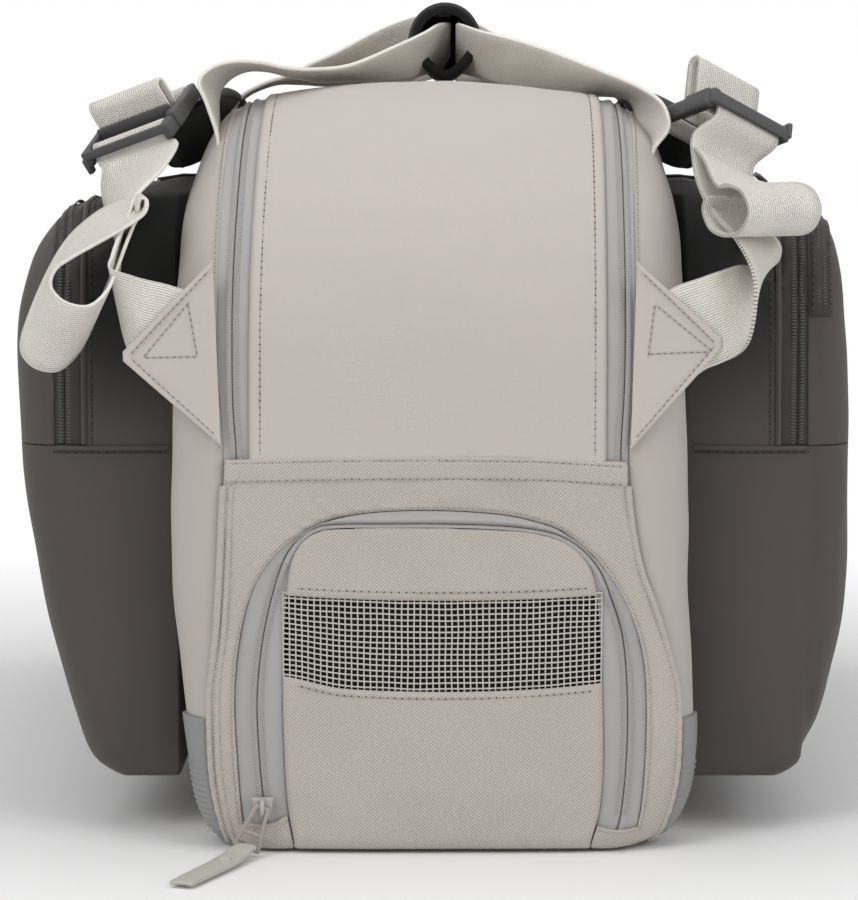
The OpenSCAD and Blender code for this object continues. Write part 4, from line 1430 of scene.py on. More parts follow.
def compartment_pieces(side):
    """Shell, both halves of the zip and the outer panel of one racket compartment."""
    word = WORD[side]
    skin = compartment_skin(side)
    shell = cut_copy(skin, (Z, ZIP_LOW, 1))
    join_mesh(shell, cut_copy(skin, (Z, ZIP_LOW, -1), (X, side * ZIP_X["in"], side)))
    bmesh.ops.remove_doubles(shell, verts=shell.verts[:], dist=0.01)
    # Shell and flap carry the black painted shade on their upper inner part.
    finish_piece("racket_shell_%s" % word, shell, "bag", "dark_painted_shade", 2.2, smooth=1,
                 angle=80)

    panel = cut_copy(skin, (Z, ZIP_LOW + 0.5, -1), (X, side * ZIP_X["out"], -side))
    finish_piece("racket_flap_%s" % word, panel, "racket_flap_%s" % word, "dark_painted_shade", 2.2,
                 smooth=1, angle=80)

    def strip(a, b):
        return push_out(cut_copy(skin, (Z, ZIP_LOW + 0.3, -1), (X, side * a, -side), (X, side * b, side)),
                        -0.8)

    finish_piece("racket_zip_%s" % word, strip(ZIP_X["in"] - 1.5, ZIP_X["mid"] - 0.2), "bag",
                 "dark_tape", 0.9, angle=80)
    finish_piece("racket_flap_zip_%s" % word, strip(ZIP_X["mid"] + 0.2, ZIP_X["out"] + 1.2),
                 "racket_flap_%s" % word, "dark_tape", 0.9, angle=80)
    pts, normals = slice_path(skin, side, ZIP_X["mid"], ZIP_LOW + 2)
    for body, direction, name in (("bag", -side, "racket_coil_%s"),
                                  ("racket_flap_%s" % word, side, "racket_flap_coil_%s")):
        ribs = bmesh.new()
        across_rows(ribs, pts, normals, direction, 1.9, 2.7, 1.5, -0.75)
        finish_piece(name % word, ribs, body, "dark_coil", nodes=())

    trims = bmesh.new()
    pts, normals = slice_path(skin, side, ZIP_X["in"] - 0.6, ZIP_LOW + 1)
    join_mesh(trims, tube_mesh([p + n * 0.5 for p, n in zip(pts[::2], normals[::2])], 1.3, 6))
    pts, normals = slice_path(skin, side, ZIP_X["in"] - 4.4, ZIP_LOW)
    rows = bmesh.new()
    stitch_mesh(rows, path_fn(pts, normals, 0.2), 0, 1, 3.6, 2.5, 0.7, 1.0)
    seam = section(skin, (0, 0, ZIP_LOW - 2.0), (0, 0, 1),
                   lambda p: p.y < -205 and INNER_X + 1 < abs(p.x) < 179)
    seam.sort(key=lambda s: abs(s[0].x))
    line = evenly([s[0] for s in seam], 80)
    norms = [Vector((0, -1, 0))] * len(line)
    join_mesh(trims, tube_mesh([p + Vector((0, -0.3, 1.2)) for p in line], 1.2, 6))
    stitch_mesh(rows, path_fn([p + Vector((0, 0, -0.9)) for p in line], norms, 0.5), 0, 1, 3.6, 2.7, 0.7,
                0.9)
    finish_piece("racket_trim_%s" % word, trims, "bag", "dark", nodes=())
    finish_piece("racket_stitches_%s" % word, rows, "bag", "dark_thread dark_hole", nodes=())
    if side == RIGHT:
        accessory_piece(skin, side)
    skin.free()


def accessory_piece(skin, side):
    """The small pocket's zip on the right panel, up the near end and along the top edge."""
    part = push_out(cut_copy(skin, (Z, 244, -1), (X, side * 177, -side), (X, side * 187.2, side),
                             (Y, 150, 1)), 0.7)
    finish_piece("accessory_zip", part, "racket_flap_right", "dark_tape", 0.8, angle=80)
    ribs = bmesh.new()
    pts, normals = stretch(slice_path(skin, side, 182.2, 240), 248, 146)
    for direction in (1, -1):
        across_rows(ribs, pts, normals, direction, 1.6, 2.2, 1.5, 0.6)
    for x in (178.2, 186.2):
        edge = stretch(slice_path(skin, side, x, 240), 246, 148)
        stitch_mesh(ribs, path_fn(*edge, 1.0), 0, 1, 3.2, 2.3, 0.5, 0.7)
    finish_piece("accessory_coil", ribs, "racket_flap_right", "dark_coil dark_hole",
                 nodes=())


# ---------------------------------------------------------------- sliders and pullers
def rounded_block(bm, size, centre, bevel=0.6, segments=2, shape=None):
    """A box with softened edges; shape changes its corners first."""
    m = Matrix.Translation(centre) @ Matrix.Diagonal((*size, 1.0))
    corners = bmesh.ops.create_cube(bm, size=1.0, matrix=m)["verts"]
    if shape:
        shape(corners)
    edges = list(dict.fromkeys(e for v in corners for e in v.link_edges))
    bmesh.ops.bevel(bm, geom=edges, offset=bevel, offset_type="OFFSET", segments=segments, profile=0.5,
                    affect="EDGES", material=-1, clamp_overlap=True)


def place_all(bm, matrix):
    """Moves a whole mesh by a matrix."""
    bmesh.ops.transform(bm, matrix=matrix, verts=bm.verts[:])
    return bm


def slider_mesh():
    """A zip slider: shield-shaped plate, raised bridge and bail.

    The bail's axis is the origin and the zip is at +Y.
    """
    def taper(corners):
        for v in corners:
            if v.co.z < -3:
                v.co.x *= 0.62

    bm = bmesh.new()
    rounded_block(bm, (10.4, 2.8, 10.2), (0, 3.9, -0.9), 0.9, 3, taper)
    ridge = []
    for i in range(15):
        a = math.pi * i / 14
        ridge.append(Vector((0, 2.6 - 3.6 * math.sin(a), 3.6 * math.cos(a) - 0.4)))
    join_mesh(bm, tube_mesh(ridge, 1.15, up=Vector((1, 0, 0))))
    return bm


def puller_mesh(long, top, bottom, bars):
    """A flat puller frame hanging down from its bar at the origin."""
    bm = bmesh.new()
    for side in WORD:
        a, b = Vector((side * (top / 2 - 1), 0, 0)), Vector((side * (bottom / 2 - 1), 0, -long + 1.2))
        mid = (a + b) / 2
        lean = math.atan2(b.x - a.x, a.z - b.z)
        part = bmesh.new()
        rounded_block(part, (2.0, 1.9, (b - a).length + 2), (0, 0, 0), 0.55)
        place_all(part, Matrix.Translation(mid) @ Matrix.Rotation(lean, 4, "Y").inverted())
        join_mesh(bm, part)
    for z in [0.0] + [-b for b in bars] + [-long + 1.1]:
        wide = top + (bottom - top) * (-z / long)
        rounded_block(bm, (wide - 1.2, 1.8, 2.0), (0, 0, z), 0.55)
    return bm


FACING_FAR = Matrix.Rotation(math.pi, 4, "Z")
SHOE_AT = Vector((-77.0, -281.2, 22.6))
MAIN_SLIDER_Z = 268.5 - 5.35


def hard_piece(name, bm, at, turn, material, slot):
    """A slider or puller: the piece, its node and its body share one name."""
    place_all(bm, Matrix.Translation(at) @ turn)
    finish_piece(name, bm, name, material)


def shoe_pull_pieces():
    """The shoe zip's slider, its puller leaning to the left and the soft tab on the floor."""
    hard_piece("shoe_slider", slider_mesh(), SHOE_AT, Matrix.Identity(4), "slider", "slider_metal")
    lean = Matrix.Rotation(math.radians(22), 4, "Y") @ Matrix.Rotation(math.radians(-6), 4, "X")
    hard_piece("shoe_puller", puller_mesh(20.5, 7.4, 13.0, [12.5]), SHOE_AT, lean, "puller", "puller")
    line = [((-84.0, -285.0, 5.6), 10.5), ((-86.0, -288.6, 5.0), 10.8), ((-89.0, -295, 3.4), 11.6),
            ((-93.5, -306, 2.6), 12.2), ((-99.5, -320, 2.3), 12.0), ((-105.5, -334, 2.2), 11.6),
            ((-109.5, -344.5, 2.2), 11.0)]
    pts = [Vector(p) for p, _ in line]
    wides = [Vector((w, 0, 0)) for _, w in line]

    def place(u, v):
        c = spline(pts, v)
        ahead, behind = spline(pts, min(v + 0.02, 1)), spline(pts, max(v - 0.02, 0))
        t = (ahead - behind).normalized()
        side = t.cross(Vector((0, 0, 1))).normalized()
        wide = spline(wides, v).x
        bulge = 0.5 * math.sin(math.pi * u)
        return c + side * (u - 0.5) * wide + Vector((0, 0, bulge))

    bm = sheet_mesh(12, 60, place, lambda u, v: (u * 11, v * 66))
    finish_piece("shoe_pull_tab", bm, "shoe_puller", "tab", 1.7, 0.0)
    bm = bmesh.new()
    bmesh.ops.create_uvsphere(bm, u_segments=24, v_segments=12, radius=3.1,
                              matrix=Matrix.Translation((-92.8, -304.5, 3.9))
                              @ Matrix.Diagonal((1, 1, 0.55, 1)))
    finish_piece("shoe_pull_stud", bm, "shoe_puller", "tab")


def other_sliders():
    """Sliders and pullers of the main zip, the compartments and the small pocket."""
    hang = (26, 7, 8, [7, 20])
    for side, word in WORD.items():
        for family, spot, dark in (("main", (6.2, 281.4, MAIN_SLIDER_Z), False),
                                   ("racket", (ZIP_X["mid"] - 5.6, 266.6, 195), True)):
            at = Vector((side * spot[0], *spot[1:]))
            finish = ("dark_metal", "dark_slider") if dark else ("slider", "slider_metal")
            hard_piece("%s_slider_%s" % (family, word), slider_mesh(), at, FACING_FAR, *finish)
            finish = ("dark_metal", "dark_puller") if dark else ("puller", "puller")
            hard_piece("%s_puller_%s" % (family, word), puller_mesh(*hang), at, FACING_FAR, *finish)
    turn = (Matrix.Rotation(math.radians(40), 4, "Y") @ Matrix.Rotation(math.pi, 4, "Z")
            @ Matrix.Rotation(math.radians(90), 4, "X"))
    at = Vector((187.2, 136, 297.6))
    hard_piece("accessory_slider", slider_mesh(), at, turn, "dark_metal", "dark_slider")
    hard_piece("accessory_puller", puller_mesh(24, 7, 8, [7, 18]), at, turn, "dark_metal", "dark_puller")


# ---------------------------------------------------------------- handles
# Stations of the webs: the centre and the direction across the web.
LEFT_NEAR_LEG = [
    ((-101, -193, 312), (0.0, -1.0, 0.0)), ((-101, -193, 328), (0.05, -0.99, -0.09)),
    ((-104, -192, 344), (-0.08, -1.0, 0.0)), ((-105, -191, 351), (-0.20, -0.98, 0.04)),
    ((-102, -189, 356), (-0.26, -0.96, 0.04)), ((-95, -185, 360), (-0.31, -0.95, 0.05)),
    ((-86, -180, 361), (-0.34, -0.94, 0.10)), ((-75, -173, 359.5), (-0.30, -0.94, 0.15)),
    ((-62, -165, 357), (-0.31, -0.94, 0.15)), ((-50, -157, 357), (-0.25, -0.96, 0.13)),
    ((-35, -148, 358), (-0.20, -0.96, 0.18)), ((-15, -130, 363), (-0.11, -0.91, 0.40)),
    ((-3, -112, 368), (-0.02, -0.87, 0.49)), ((4, -97, 370.5), (0.0, -0.80, 0.6)),
    ((9.5, -87, 371.5), (0.0, -0.80, 0.6))]
RIGHT_NEAR_LEG = [
    ((104, -193, 312), (0.0, -1.0, 0.0)), ((105, -193, 323), (-0.02, -1.0, -0.07)),
    ((104.5, -193.5, 331), (0.33, -0.93, -0.03)), ((105, -191, 337), (0.33, -0.93, -0.03)),
    ((103, -185, 343), (0.28, -0.95, 0.03)), ((97, -175, 348), (0.17, -0.98, 0.10)),
    ((87, -165, 351), (0.19, -0.96, 0.19)), ((75, -155, 353), (0.26, -0.91, 0.32)),
    ((55, -140, 358), (0.27, -0.84, 0.48)), ((38, -128, 363), (0.25, -0.81, 0.53)),
    ((23, -114, 368), (0.06, -0.84, 0.54)), ((13, -96, 371), (0.0, -0.80, 0.6))]
FAR_LEG = [((3, -26, 374), (0.0, -0.1, 1.0)), ((2, -12, 374), (0.0, -0.15, 1.0)),
           ((-3, -1, 373), (-0.05, -0.3, 0.95)), ((-13, 10, 370.5), (-0.12, -0.5, 0.86)),
           ((-28, 20, 367), (-0.2, -0.72, 0.66)), ((-45, 29, 362.5), (-0.25, -0.87, 0.42)),
           ((-60, 36, 359), (-0.22, -0.93, 0.28)), ((-75, 43, 356.5), (-0.12, -0.98, 0.1)),
           ((-89, 49, 354), (-0.1, -1.0, 0.0)), ((-104, 53, 346), (0.0, -1.0, 0.0)),
           ((-110, 54, 332), (0.0, -1.0, 0.0)), ((-112, 54, 314), (0.0, -1.0, 0.0))]


def handle_pieces():
    """Both handle webs, from the side walls over the lid and into the grip."""
    width = bpy.context.scene.bag_sizes.web_width / MM
    for side, leg in ((LEFT, LEFT_NEAR_LEG), (RIGHT, RIGHT_NEAR_LEG)):
        word = WORD[side]
        bm = ribbon_mesh(leg, width, 70)
        far = [((x if side == LEFT else 14 * (1 - ease(-12, 30, y)) - x, y, z), (-side * d[0], d[1], d[2]))
               for (x, y, z), d in FAR_LEG]
        more = ribbon_mesh(far, width, 60, pinch=lambda v: 0.86 + 0.14 * ease(0.05, 0.3, v))
        join_mesh(bm, more)
        obj = finish_piece("handle_web_%s" % word, bm, None, "webbing", 1.7, 0.0)
        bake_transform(obj)


def grip_piece():
    """The padded wrap round both webs, open at its two ends."""
    def place(u, v):
        a = TAU * u
        y = -112 + 104 * v
        low = max(-math.sin(a), 0)
        swell = 1.2 * math.sin(math.pi * v) ** 0.5 + 0.5 * soft((math.cos(a) * 12, y, math.sin(a) * 12), 14,
                                                                61.0)
        lip = -1.2 * (1 - ease(0.0, 0.03, v)) - 1.2 * ease(0.97, 1.0, v)
        r = 18.0 + swell + lip - 2
        x = 7 + (r + 1.5) * math.cos(a) * (1 - 0.34 * low ** 1.5)
        z = 374.5 + (r + 1.4) * math.sin(a) + max(math.sin(a), 0) - 2.0 * low
        return (x, y - 5 * math.sin(a) * (0.5 - v), z)

    bm = sheet_mesh(56, 60, place, lambda u, v: (u * 115, v * 104))
    bmesh.ops.remove_doubles(bm, verts=bm.verts[:], dist=0.01)
    face_away(bm, (7, -60, 374))
    middle = Vector((7, 0, 373))
    core = sheet_mesh(32, 12, lambda u, v: middle + Matrix.Diagonal((0.68, 1, 0.68))
                      @ (Vector(place(u, 0.27 + 0.56 * v)) - middle), lambda u, v: (u * 80, v * 69))
    bmesh.ops.remove_doubles(core, verts=core.verts[:], dist=0.01)
    bmesh.ops.holes_fill(core, edges=[e for e in core.edges if e.is_boundary], sides=32)
    face_away(core, (7, -60, 374))
    join_mesh(bm, core)
    obj = finish_piece("handle_grip", bm, "handles", "black", 4.2, smooth=1)
    rows = bmesh.new()
    for v in (0.035, 0.965):
        def ring(t, v=v):
            x, y, z = place(t, v)
            n = Vector((x - 7, 0, z - 374.5)).normalized()
            return Vector((x, y, z)) - n * 0.1, n
        stitch_mesh(rows, ring, 0, 1, 3.4, 2.4, 0.6, 0.7)
    finish_piece("handle_grip_stitches", rows, "handles", "dark_thread dark_hole", nodes=())


# ---------------------------------------------------------------- straps, locks and adjusters
PAD_NEAR, PAD_FAR = -165.0, 212.0
PAD_END = {LEFT: (130.0, 338.0, 18.0), RIGHT: (128.0, 330.0, 31.0)}


def pad_at(side, y):
    """Middle (x, z) and lean of a padded strap at y."""
    f = (y - PAD_NEAR) / (PAD_FAR - PAD_NEAR)
    x, z, lean = PAD_END[side]
    return (x + (129 - x) * f, z + (317.8 - z) * f + 36 * f * (1 - f), math.radians(lean + (28 - lean) * f))


def pad_end(y):
    """How far y lies from the nearer end of a padded strap, and half its width there."""
    end = min(y - PAD_NEAR, PAD_FAR - y)
    return end, 26.5 - 5.0 * (1 - ease(0, 24, end))


def pad_pieces(side):
    """One padded shoulder strap: a stuffed bar with a bound edge."""
    word = WORD[side]
    bm = gridded_cube((11, 79, 3))
    layer = bm.loops.layers.uv.new("UVMap")
    for f in bm.faces:
        for loop in f.loops:
            c = loop.vert.co
            loop[layer].uv = (c.x * 27 * MM, c.y * 188 * MM)
    for v in bm.verts:
        a, b, c = v.co
        y = PAD_NEAR + (PAD_FAR - PAD_NEAR) * (b + 1) / 2
        x, z, lean = pad_at(side, min(max(y, PAD_NEAR), PAD_FAR))
        end, half = pad_end(y)
        full = (1 - a * a) ** 0.35
        tall = (2.4 + 3.6 * full) * (0.45 + 0.55 * ease(0, 16, end))
        dx = a * half
        dz = c * tall + 0.5 * soft((a * 20, y, c * 10), 34, 71.0 + side)
        sx, cx = math.sin(lean), math.cos(lean)
        v.co = Vector((side * (x + dx * cx + dz * sx), y, z - dx * sx + dz * cx))
    bmesh.ops.recalc_face_normals(bm, faces=bm.faces[:])
    obj = finish_piece("strap_pad_%s" % word, bm, "strap_%s" % word, "black", smooth=1,
                       angle=70)
    rim = bmesh.new()
    for a in (-1, 1):
        pts = []
        for i in range(90):
            y = PAD_NEAR + 2 + (PAD_FAR - PAD_NEAR - 4) * i / 89
            x, z, lean = pad_at(side, y)
            half = pad_end(y)[1]
            pts.append(Vector((side * (x + a * half * math.cos(lean)), y, z - a * half * math.sin(lean))))
        join_mesh(rim, tube_mesh(pts, 2.5, 8))
    finish_piece("strap_binding_%s" % word, rim, "strap_%s" % word, "black", nodes=())


def anchor_pieces():
    """Stitched patches that hold the padded straps to the compartments."""
    bm = bmesh.new()
    for side in WORD:
        def place(u, v, side=side):
            x, y = 125 + 38 * u, 207 + 39 * v
            z = COMP_Z[side][1]
            while z > 270 and curve(COMP_OUT[side], z) < x:
                z -= 0.25
            drop = 34.0 * (1 - math.sin(math.acos(min(max((y - (Y_FAR - END_ROUND)) / END_ROUND, 0), 1))))
            return (side * x, y, z - drop * 0.9 + 1.9 + 0.4 * soft((x, y, 0), 12, 81.0))
        part = sheet_mesh(20, 20, place, lambda u, v: (u * 38, v * 39))
        face_away(part, (side * 145, 220, 200))
        join_mesh(bm, part)
    finish_piece("strap_anchors", bm, "bag", "black", 2.0, smooth=1)


WEB_W, WEB_T = 40.0, 1.6
LOCK_HALF, LOCK_L, BAR_R = 24.0, 31.0, 2.2
# Each lock: the way its bars lie, the way its web runs and the middle of its front bar.
LOCKS = {
    LEFT: ((0.84, -0.45, 0.30), (-0.273, -0.831, -0.485), (-140.5, -212, 326.5)),
    RIGHT: ((0.755, 0.528, -0.385), (0.645, -0.71, 0.277), (146.5, -205, 336)),
}


def lock_axes(side):
    """Directions along the bars, towards the front bar and out of the lock, and the tongue bar's middle."""
    bar, run, front = [Vector(v) for v in LOCKS[side]]
    u = bar.normalized()
    v = (run - u * run.dot(u)).normalized()
    return u, v, u.cross(v), front - v * LOCK_L


def lock_matrix(side):
    """Local x along the bars, y from the tongue bar to the front bar."""
    u, v, n, o = lock_axes(side)
    m = Matrix((u, v, n)).transposed().to_4x4()
    m.translation = o
    return m


def lock_pieces(side):
    """Ladder lock with its three bars, the web round the middle bar and the tongue to the pad."""
    word = WORD[side]
    bm = bmesh.new()
    for y in (0, LOCK_L / 2, LOCK_L):
        bmesh.ops.create_cone(bm, cap_ends=True, segments=20, radius1=BAR_R, radius2=BAR_R,
                              depth=2 * LOCK_HALF - 2, matrix=Matrix.Translation((0, y, 0))
                              @ Matrix.Rotation(math.pi / 2, 4, "Y"))
    for a in (LEFT, RIGHT):
        rounded_block(bm, (4.5, LOCK_L + 9.4, 8.0), (a * (LOCK_HALF - 0.9), LOCK_L / 2 + 2.5, 0), 1.2)
    if side == LEFT:
        rounded_block(bm, (5.0, 12.0, 9.0), (LOCK_HALF + 0.4, LOCK_L / 2 + 8, -1.0), 1.2)
        rounded_block(bm, (3.0, 4.0, 8.0), (-LOCK_HALF - 0.5, LOCK_L + 6, 3.0), 0.9)
        rounded_block(bm, (2 * LOCK_HALF - 6, 2.2, 7.0), (0, LOCK_L / 2 + 5.4, -3.0), 0.6)
        rounded_block(bm, (2 * LOCK_HALF + 1.5, 2.2, 4.6), (0, LOCK_L + 6.3, -1.7), 0.8)
    else:
        rounded_block(bm, (6.0, 16.0, 9.0), (-LOCK_HALF + 0.4, LOCK_L - 4, 0.0), 1.4)
        rounded_block(bm, (2.6, 4.0, 8.0), (LOCK_HALF + 0.8, LOCK_L + 6, -2.0), 0.9)
        rounded_block(bm, (2 * LOCK_HALF + 1.5, 2.4, 6.4), (0, LOCK_L + 6.3, 0.4), 0.8)
    rounded_block(bm, (2 * LOCK_HALF - 4, 1.8, 5.4), (0, -1.4, 0.4), 0.7)
    place_all(bm, lock_matrix(side))
    finish_piece("ladder_lock_%s" % word, bm, "lock_%s" % word, "buckle")

    rise = 14.0 if side == LEFT else 26.0
    r = BAR_R + 0.3 + WEB_T / 2
    total = TAU * r + 2 * rise

    def round_bar(u, v):
        d = v * total
        half = math.pi * r
        x = (u - 0.5) * WEB_W
        if d < half:
            a = d / r
            return (x, LOCK_L / 2 + r * math.cos(a), r * math.sin(a))
        d -= half
        if d < rise:
            return (x, LOCK_L / 2 - r, -d)
        d -= rise
        if d < half:
            a = math.pi + d / r
            return (x, LOCK_L / 2 + r * math.cos(a), -rise + r * math.sin(a))
        return (x, LOCK_L / 2 + r, -rise + (d - half))

    bm = sheet_mesh(8, 48, round_bar, lambda u, v: (u * WEB_W, v * total))
    bmesh.ops.remove_doubles(bm, verts=bm.verts[:], dist=0.02)
    place_all(bm, lock_matrix(side))
    finish_piece("lock_web_%s" % word, bm, "lock_%s" % word, "webbing", WEB_T, 0.0)

    u, v, n, o = lock_axes(side)
    x, z, lean = PAD_END[side]
    lean = math.radians(lean)
    start = Vector((side * x, PAD_NEAR + 6, z))
    w = Vector((math.cos(lean), 0, -side * math.sin(lean)))
    route = [(start, w), (start * 0.55 + (o - v * 7) * 0.45, (w + u).normalized()), (o - v * 7, u),
             (o - v * 3.2 + n * 1.5, u)]
    bm = ribbon_mesh(route, WEB_W - 1, 24)
    ring = sheet_mesh(8, 28, lambda a, b: o + u * (a - 0.5) * (WEB_W - 1) + v * r * math.cos(TAU * b)
                      + n * r * math.sin(TAU * b), lambda a, b: (a * WEB_W, b * TAU * r))
    bmesh.ops.remove_doubles(ring, verts=ring.verts[:], dist=0.02)
    join_mesh(bm, ring)
    finish_piece("strap_tongue_%s" % word, bm, "strap_%s" % word, "webbing", WEB_T, 0.0)


LEFT_WEB = [
    ((-112, -273.8, 238), (0.4, 0, 0.9)),
    ((-123.3, -273.8, 241.7), (0.25, 0.00, 0.97)), ((-133.4, -272.8, 244.9), (0.02, -0.12, 0.99)),
    ((-141.8, -270.0, 252.0), (-0.10, -0.55, 0.83)), ((-143.9, -263.0, 264.4), (0.02, -0.86, 0.51)),
    ((-142.7, -256.0, 275.6), (0.08, -0.93, 0.35)), ((-142.2, -247.0, 284.9), (0.22, -0.93, 0.30)),
    ((-142.5, -238.0, 295.8), (0.42, -0.86, 0.28)), ((-138.6, -230.0, 308.2), (0.77, -0.58, 0.27)),
    ((-135.7, -223.0, 318.8), (0.91, -0.28, 0.32))]
LEFT_SLACK = [
    ((-136.9, -248.4, 294.9), (0.20, -0.98, -0.05)), ((-135.4, -250.4, 300.9), (0.20, -0.98, -0.05)),
    ((-132.4, -253.5, 301.1), (0.20, -0.98, -0.08)), ((-132.6, -253.6, 297.5), (0.19, -0.97, -0.15)),
    ((-140.6, -255.0, 293.1), (0.16, -0.95, -0.27)), ((-152.9, -259.0, 286.0), (0.16, -0.95, -0.27)),
    ((-165.5, -263.5, 276.0), (0.20, -0.97, -0.10)), ((-176.0, -270.7, 258.7), (0.35, -0.82, 0.46)),
    ((-178.1, -279.0, 245.9), (0.42, -0.55, 0.72)), ((-172.1, -281.4, 239.2), (0.42, -0.48, 0.77)),
    ((-162.0, -279.4, 237.2), (0.42, -0.48, 0.77)), ((-154.0, -273.6, 243.6), (0.40, -0.52, 0.75)),
    ((-148.8, -265.9, 254.6), (0.36, -0.61, 0.71)), ((-144.9, -258.7, 266.3), (0.33, -0.72, 0.61)),
    ((-141.1, -252.8, 277.0), (0.30, -0.81, 0.51)), ((-139.8, -247.0, 284.9), (0.35, -0.85, 0.40))]
RIGHT_WEB = [
    ((112, -273.8, 238), (-0.4, 0, 0.9)), ((117.8, -273.8, 241.7), (-0.35, 0, 0.94)),
    ((127.9, -273.4, 245.4), (-0.20, 0.05, 0.98)), ((139.4, -271.5, 250.7), (-0.10, 0.40, 0.91)),
    ((146.9, -269, 257.9), (0.08, 0.86, 0.51)), ((151.8, -266, 267.8), (0.34, 0.93, 0.10)),
    ((149.6, -261, 279.0), (0.56, 0.82, -0.08)), ((142.3, -250, 288.7), (0.66, 0.73, -0.16)),
    ((138.0, -236, 299.4), (0.75, 0.60, -0.28)), ((136.3, -224, 310.9), (0.76, 0.53, -0.36)),
    ((137.0, -216, 321.1), (0.76, 0.53, -0.39))]
# How the web goes round a lock's front bar: steps along the lock and out of it.
ROUND_BAR = {
    LEFT: [(5, 3), (3.3, 0), (2.3, -2.3), (0, -3.3), (-3, -1.5), (-4, 2)],
    RIGHT: [(4, 7), (3.3, 0), (2.3, -2.3), (0, -3.3), (-3, -1.5), (-3.6, 3)],
}


def tube_stations():
    """The slack of the right web: a flap from below the lock that rolls into an open tube."""
    centre, axis = Vector((150, -266, 295)), Vector((0.87, 0.5, 0))
    out = [((136.7, -221.5, 315), (0.755, 0.528, -0.385)), ((141, -236, 311), (0.78, 0.53, -0.3))]
    for deg in (110, 90, 45, 0, -45, -90, -135, -180, -210):
        a = math.radians(deg)
        out.append((centre + Vector((0.5, -0.87, 0)) * 18 * math.cos(a)
                    + Vector((0, 0, 11.5 * math.sin(a))), axis))
    return out


def adjuster_pieces():
    """The adjuster webs: out of the gussets, up to the locks and round their front bars, with slack."""
    for side, route in ((LEFT, LEFT_WEB), (RIGHT, RIGHT_WEB)):
        word = WORD[side]
        u, v, n, o = lock_axes(side)
        front = o + v * LOCK_L
        stations = route + [(front + v * a + n * b, u) for a, b in ROUND_BAR[side]]
        bm = ribbon_mesh(stations, WEB_W, 190)
        slack = ribbon_mesh(LEFT_SLACK if side == LEFT else tube_stations(), WEB_W, 110)
        join_mesh(bm, slack)
        obj = finish_piece("adjuster_web_%s" % word, bm, None, "webbing", WEB_T, 0.0)
        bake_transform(obj)


# ---------------------------------------------------------------- hidden parts and finishes of the frame
def divider_piece():
    """The stiffened cloth over and behind the shoe pocket, which keeps it apart from the rackets."""
    low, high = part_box("shoe_divider")
    low, high = low / MM, high / MM
    roof, reach = high.z - 1, high.y - low.y - 3
    total = reach + roof - low.z

    def place(u, v):
        d = v * total
        z = roof - max(d - reach, 0)
        y = low.y + 2 + min(d, reach)
        bend = 26 - math.sqrt(26**2 - max(26 - (y + LENGTH), 0) ** 2)
        left, right = 6 + bend - curve(WALL[LEFT], z), curve(WALL[RIGHT], z) - 6 - bend
        x = between(left, right, u)
        wave = 0.5 * soft((x, y, z), 45, 91.0)
        return (x, y + wave, z) if d > reach else (x, y, z + wave)

    bm = sheet_mesh(30, 60, place, lambda u, v: (u * 200, v * total))
    # The divider shares its near-black material with the painted shade behind the net.
    finish_piece("shoe_divider", bm, "bag", "lining", 1.6, 0.0, smooth=1)


def paint(node, material):
    """Gives a CAD node that stays in view its finish."""
    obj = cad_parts[node]
    obj.data.materials.clear()
    obj.data.materials.append(material)


# ---------------------------------------------------------------- stage
WHITE = (1, 1, 1, 1)


def white_for_camera(tree, plain, white, mask=None):
    """Mixes to a white emission for rays that look at it directly or by reflection."""
    g = Graph(tree)
    path = tree.nodes.new("ShaderNodeLightPath")
    seen = g.math("MAXIMUM", path.outputs["Is Camera Ray"], path.outputs["Is Glossy Ray"])
    seen = g.math("MAXIMUM", seen, path.outputs["Is Transmission Ray"])
    if mask is not None:
        seen = g.math("MULTIPLY", seen, mask)
    mix = tree.nodes.new("ShaderNodeMixShader")
    g.link(seen, mix.inputs[0])
    g.link(plain, mix.inputs[1])
    g.link(white, mix.inputs[2])
    return mix.outputs[0]


def floor_material():
    """Pale floor that catches the shadow and turns white further out."""
    floor = bpy.data.materials.new("Floor")
    floor.use_nodes = True
    tree = floor.node_tree
    g = Graph(tree)
    shader = tree.nodes["Principled BSDF"]
    shader.inputs["Base Color"].default_value = (0.93, 0.93, 0.93, 1)
    shader.inputs["Roughness"].default_value = 0.9
    shader.inputs["Specular IOR Level"].default_value = 0.1
    coords = tree.nodes.new("ShaderNodeTexCoord")
    span = tree.nodes.new("ShaderNodeVectorMath")
    span.operation = "LENGTH"
    g.link(coords.outputs["Object"], span.inputs[0])
    far = g.range(span.outputs["Value"], 0.34, 0.8, 0.0, 1.0)
    white = tree.nodes.new("ShaderNodeEmission")
    white.inputs["Color"].default_value = WHITE
    white.inputs["Strength"].default_value = 1.0
    out = tree.nodes["Material Output"]
    g.link(white_for_camera(tree, shader.outputs[0], white.outputs[0], far), out.inputs["Surface"])
    return floor


def area_light(name, place, look_at, size, power):
    """A rectangular light at a place, turned to a point."""
    data = bpy.data.lights.new(name, "AREA")
    data.shape = "RECTANGLE"
    data.size, data.size_y = size
    data.energy = power
    obj = bpy.data.objects.new(name, data)
    obj.location = place
    obj.rotation_euler = (Vector(look_at) - Vector(place)).to_track_quat("-Z", "Y").to_euler()
    bpy.context.scene.collection.objects.link(obj)


LIGHTS = [("light_top", (0.0, -0.2, 2.1), (0, 0, 0.1), (1.8, 1.8), "top"),
          ("light_left", (-1.4, -1.9, 1.7), (0, -0.1, 0.15), (1.1, 1.4), "left"),
          ("light_right", (1.7, -1.6, 1.4), (0, -0.1, 0.15), (1.0, 1.3), "right")]
CAMERA_AT = (0.0, -1.775, 0.34)
CAMERA_DROP = 5
LENS = 132.8
LENS_SHIFT = (-0.0022, -0.055)


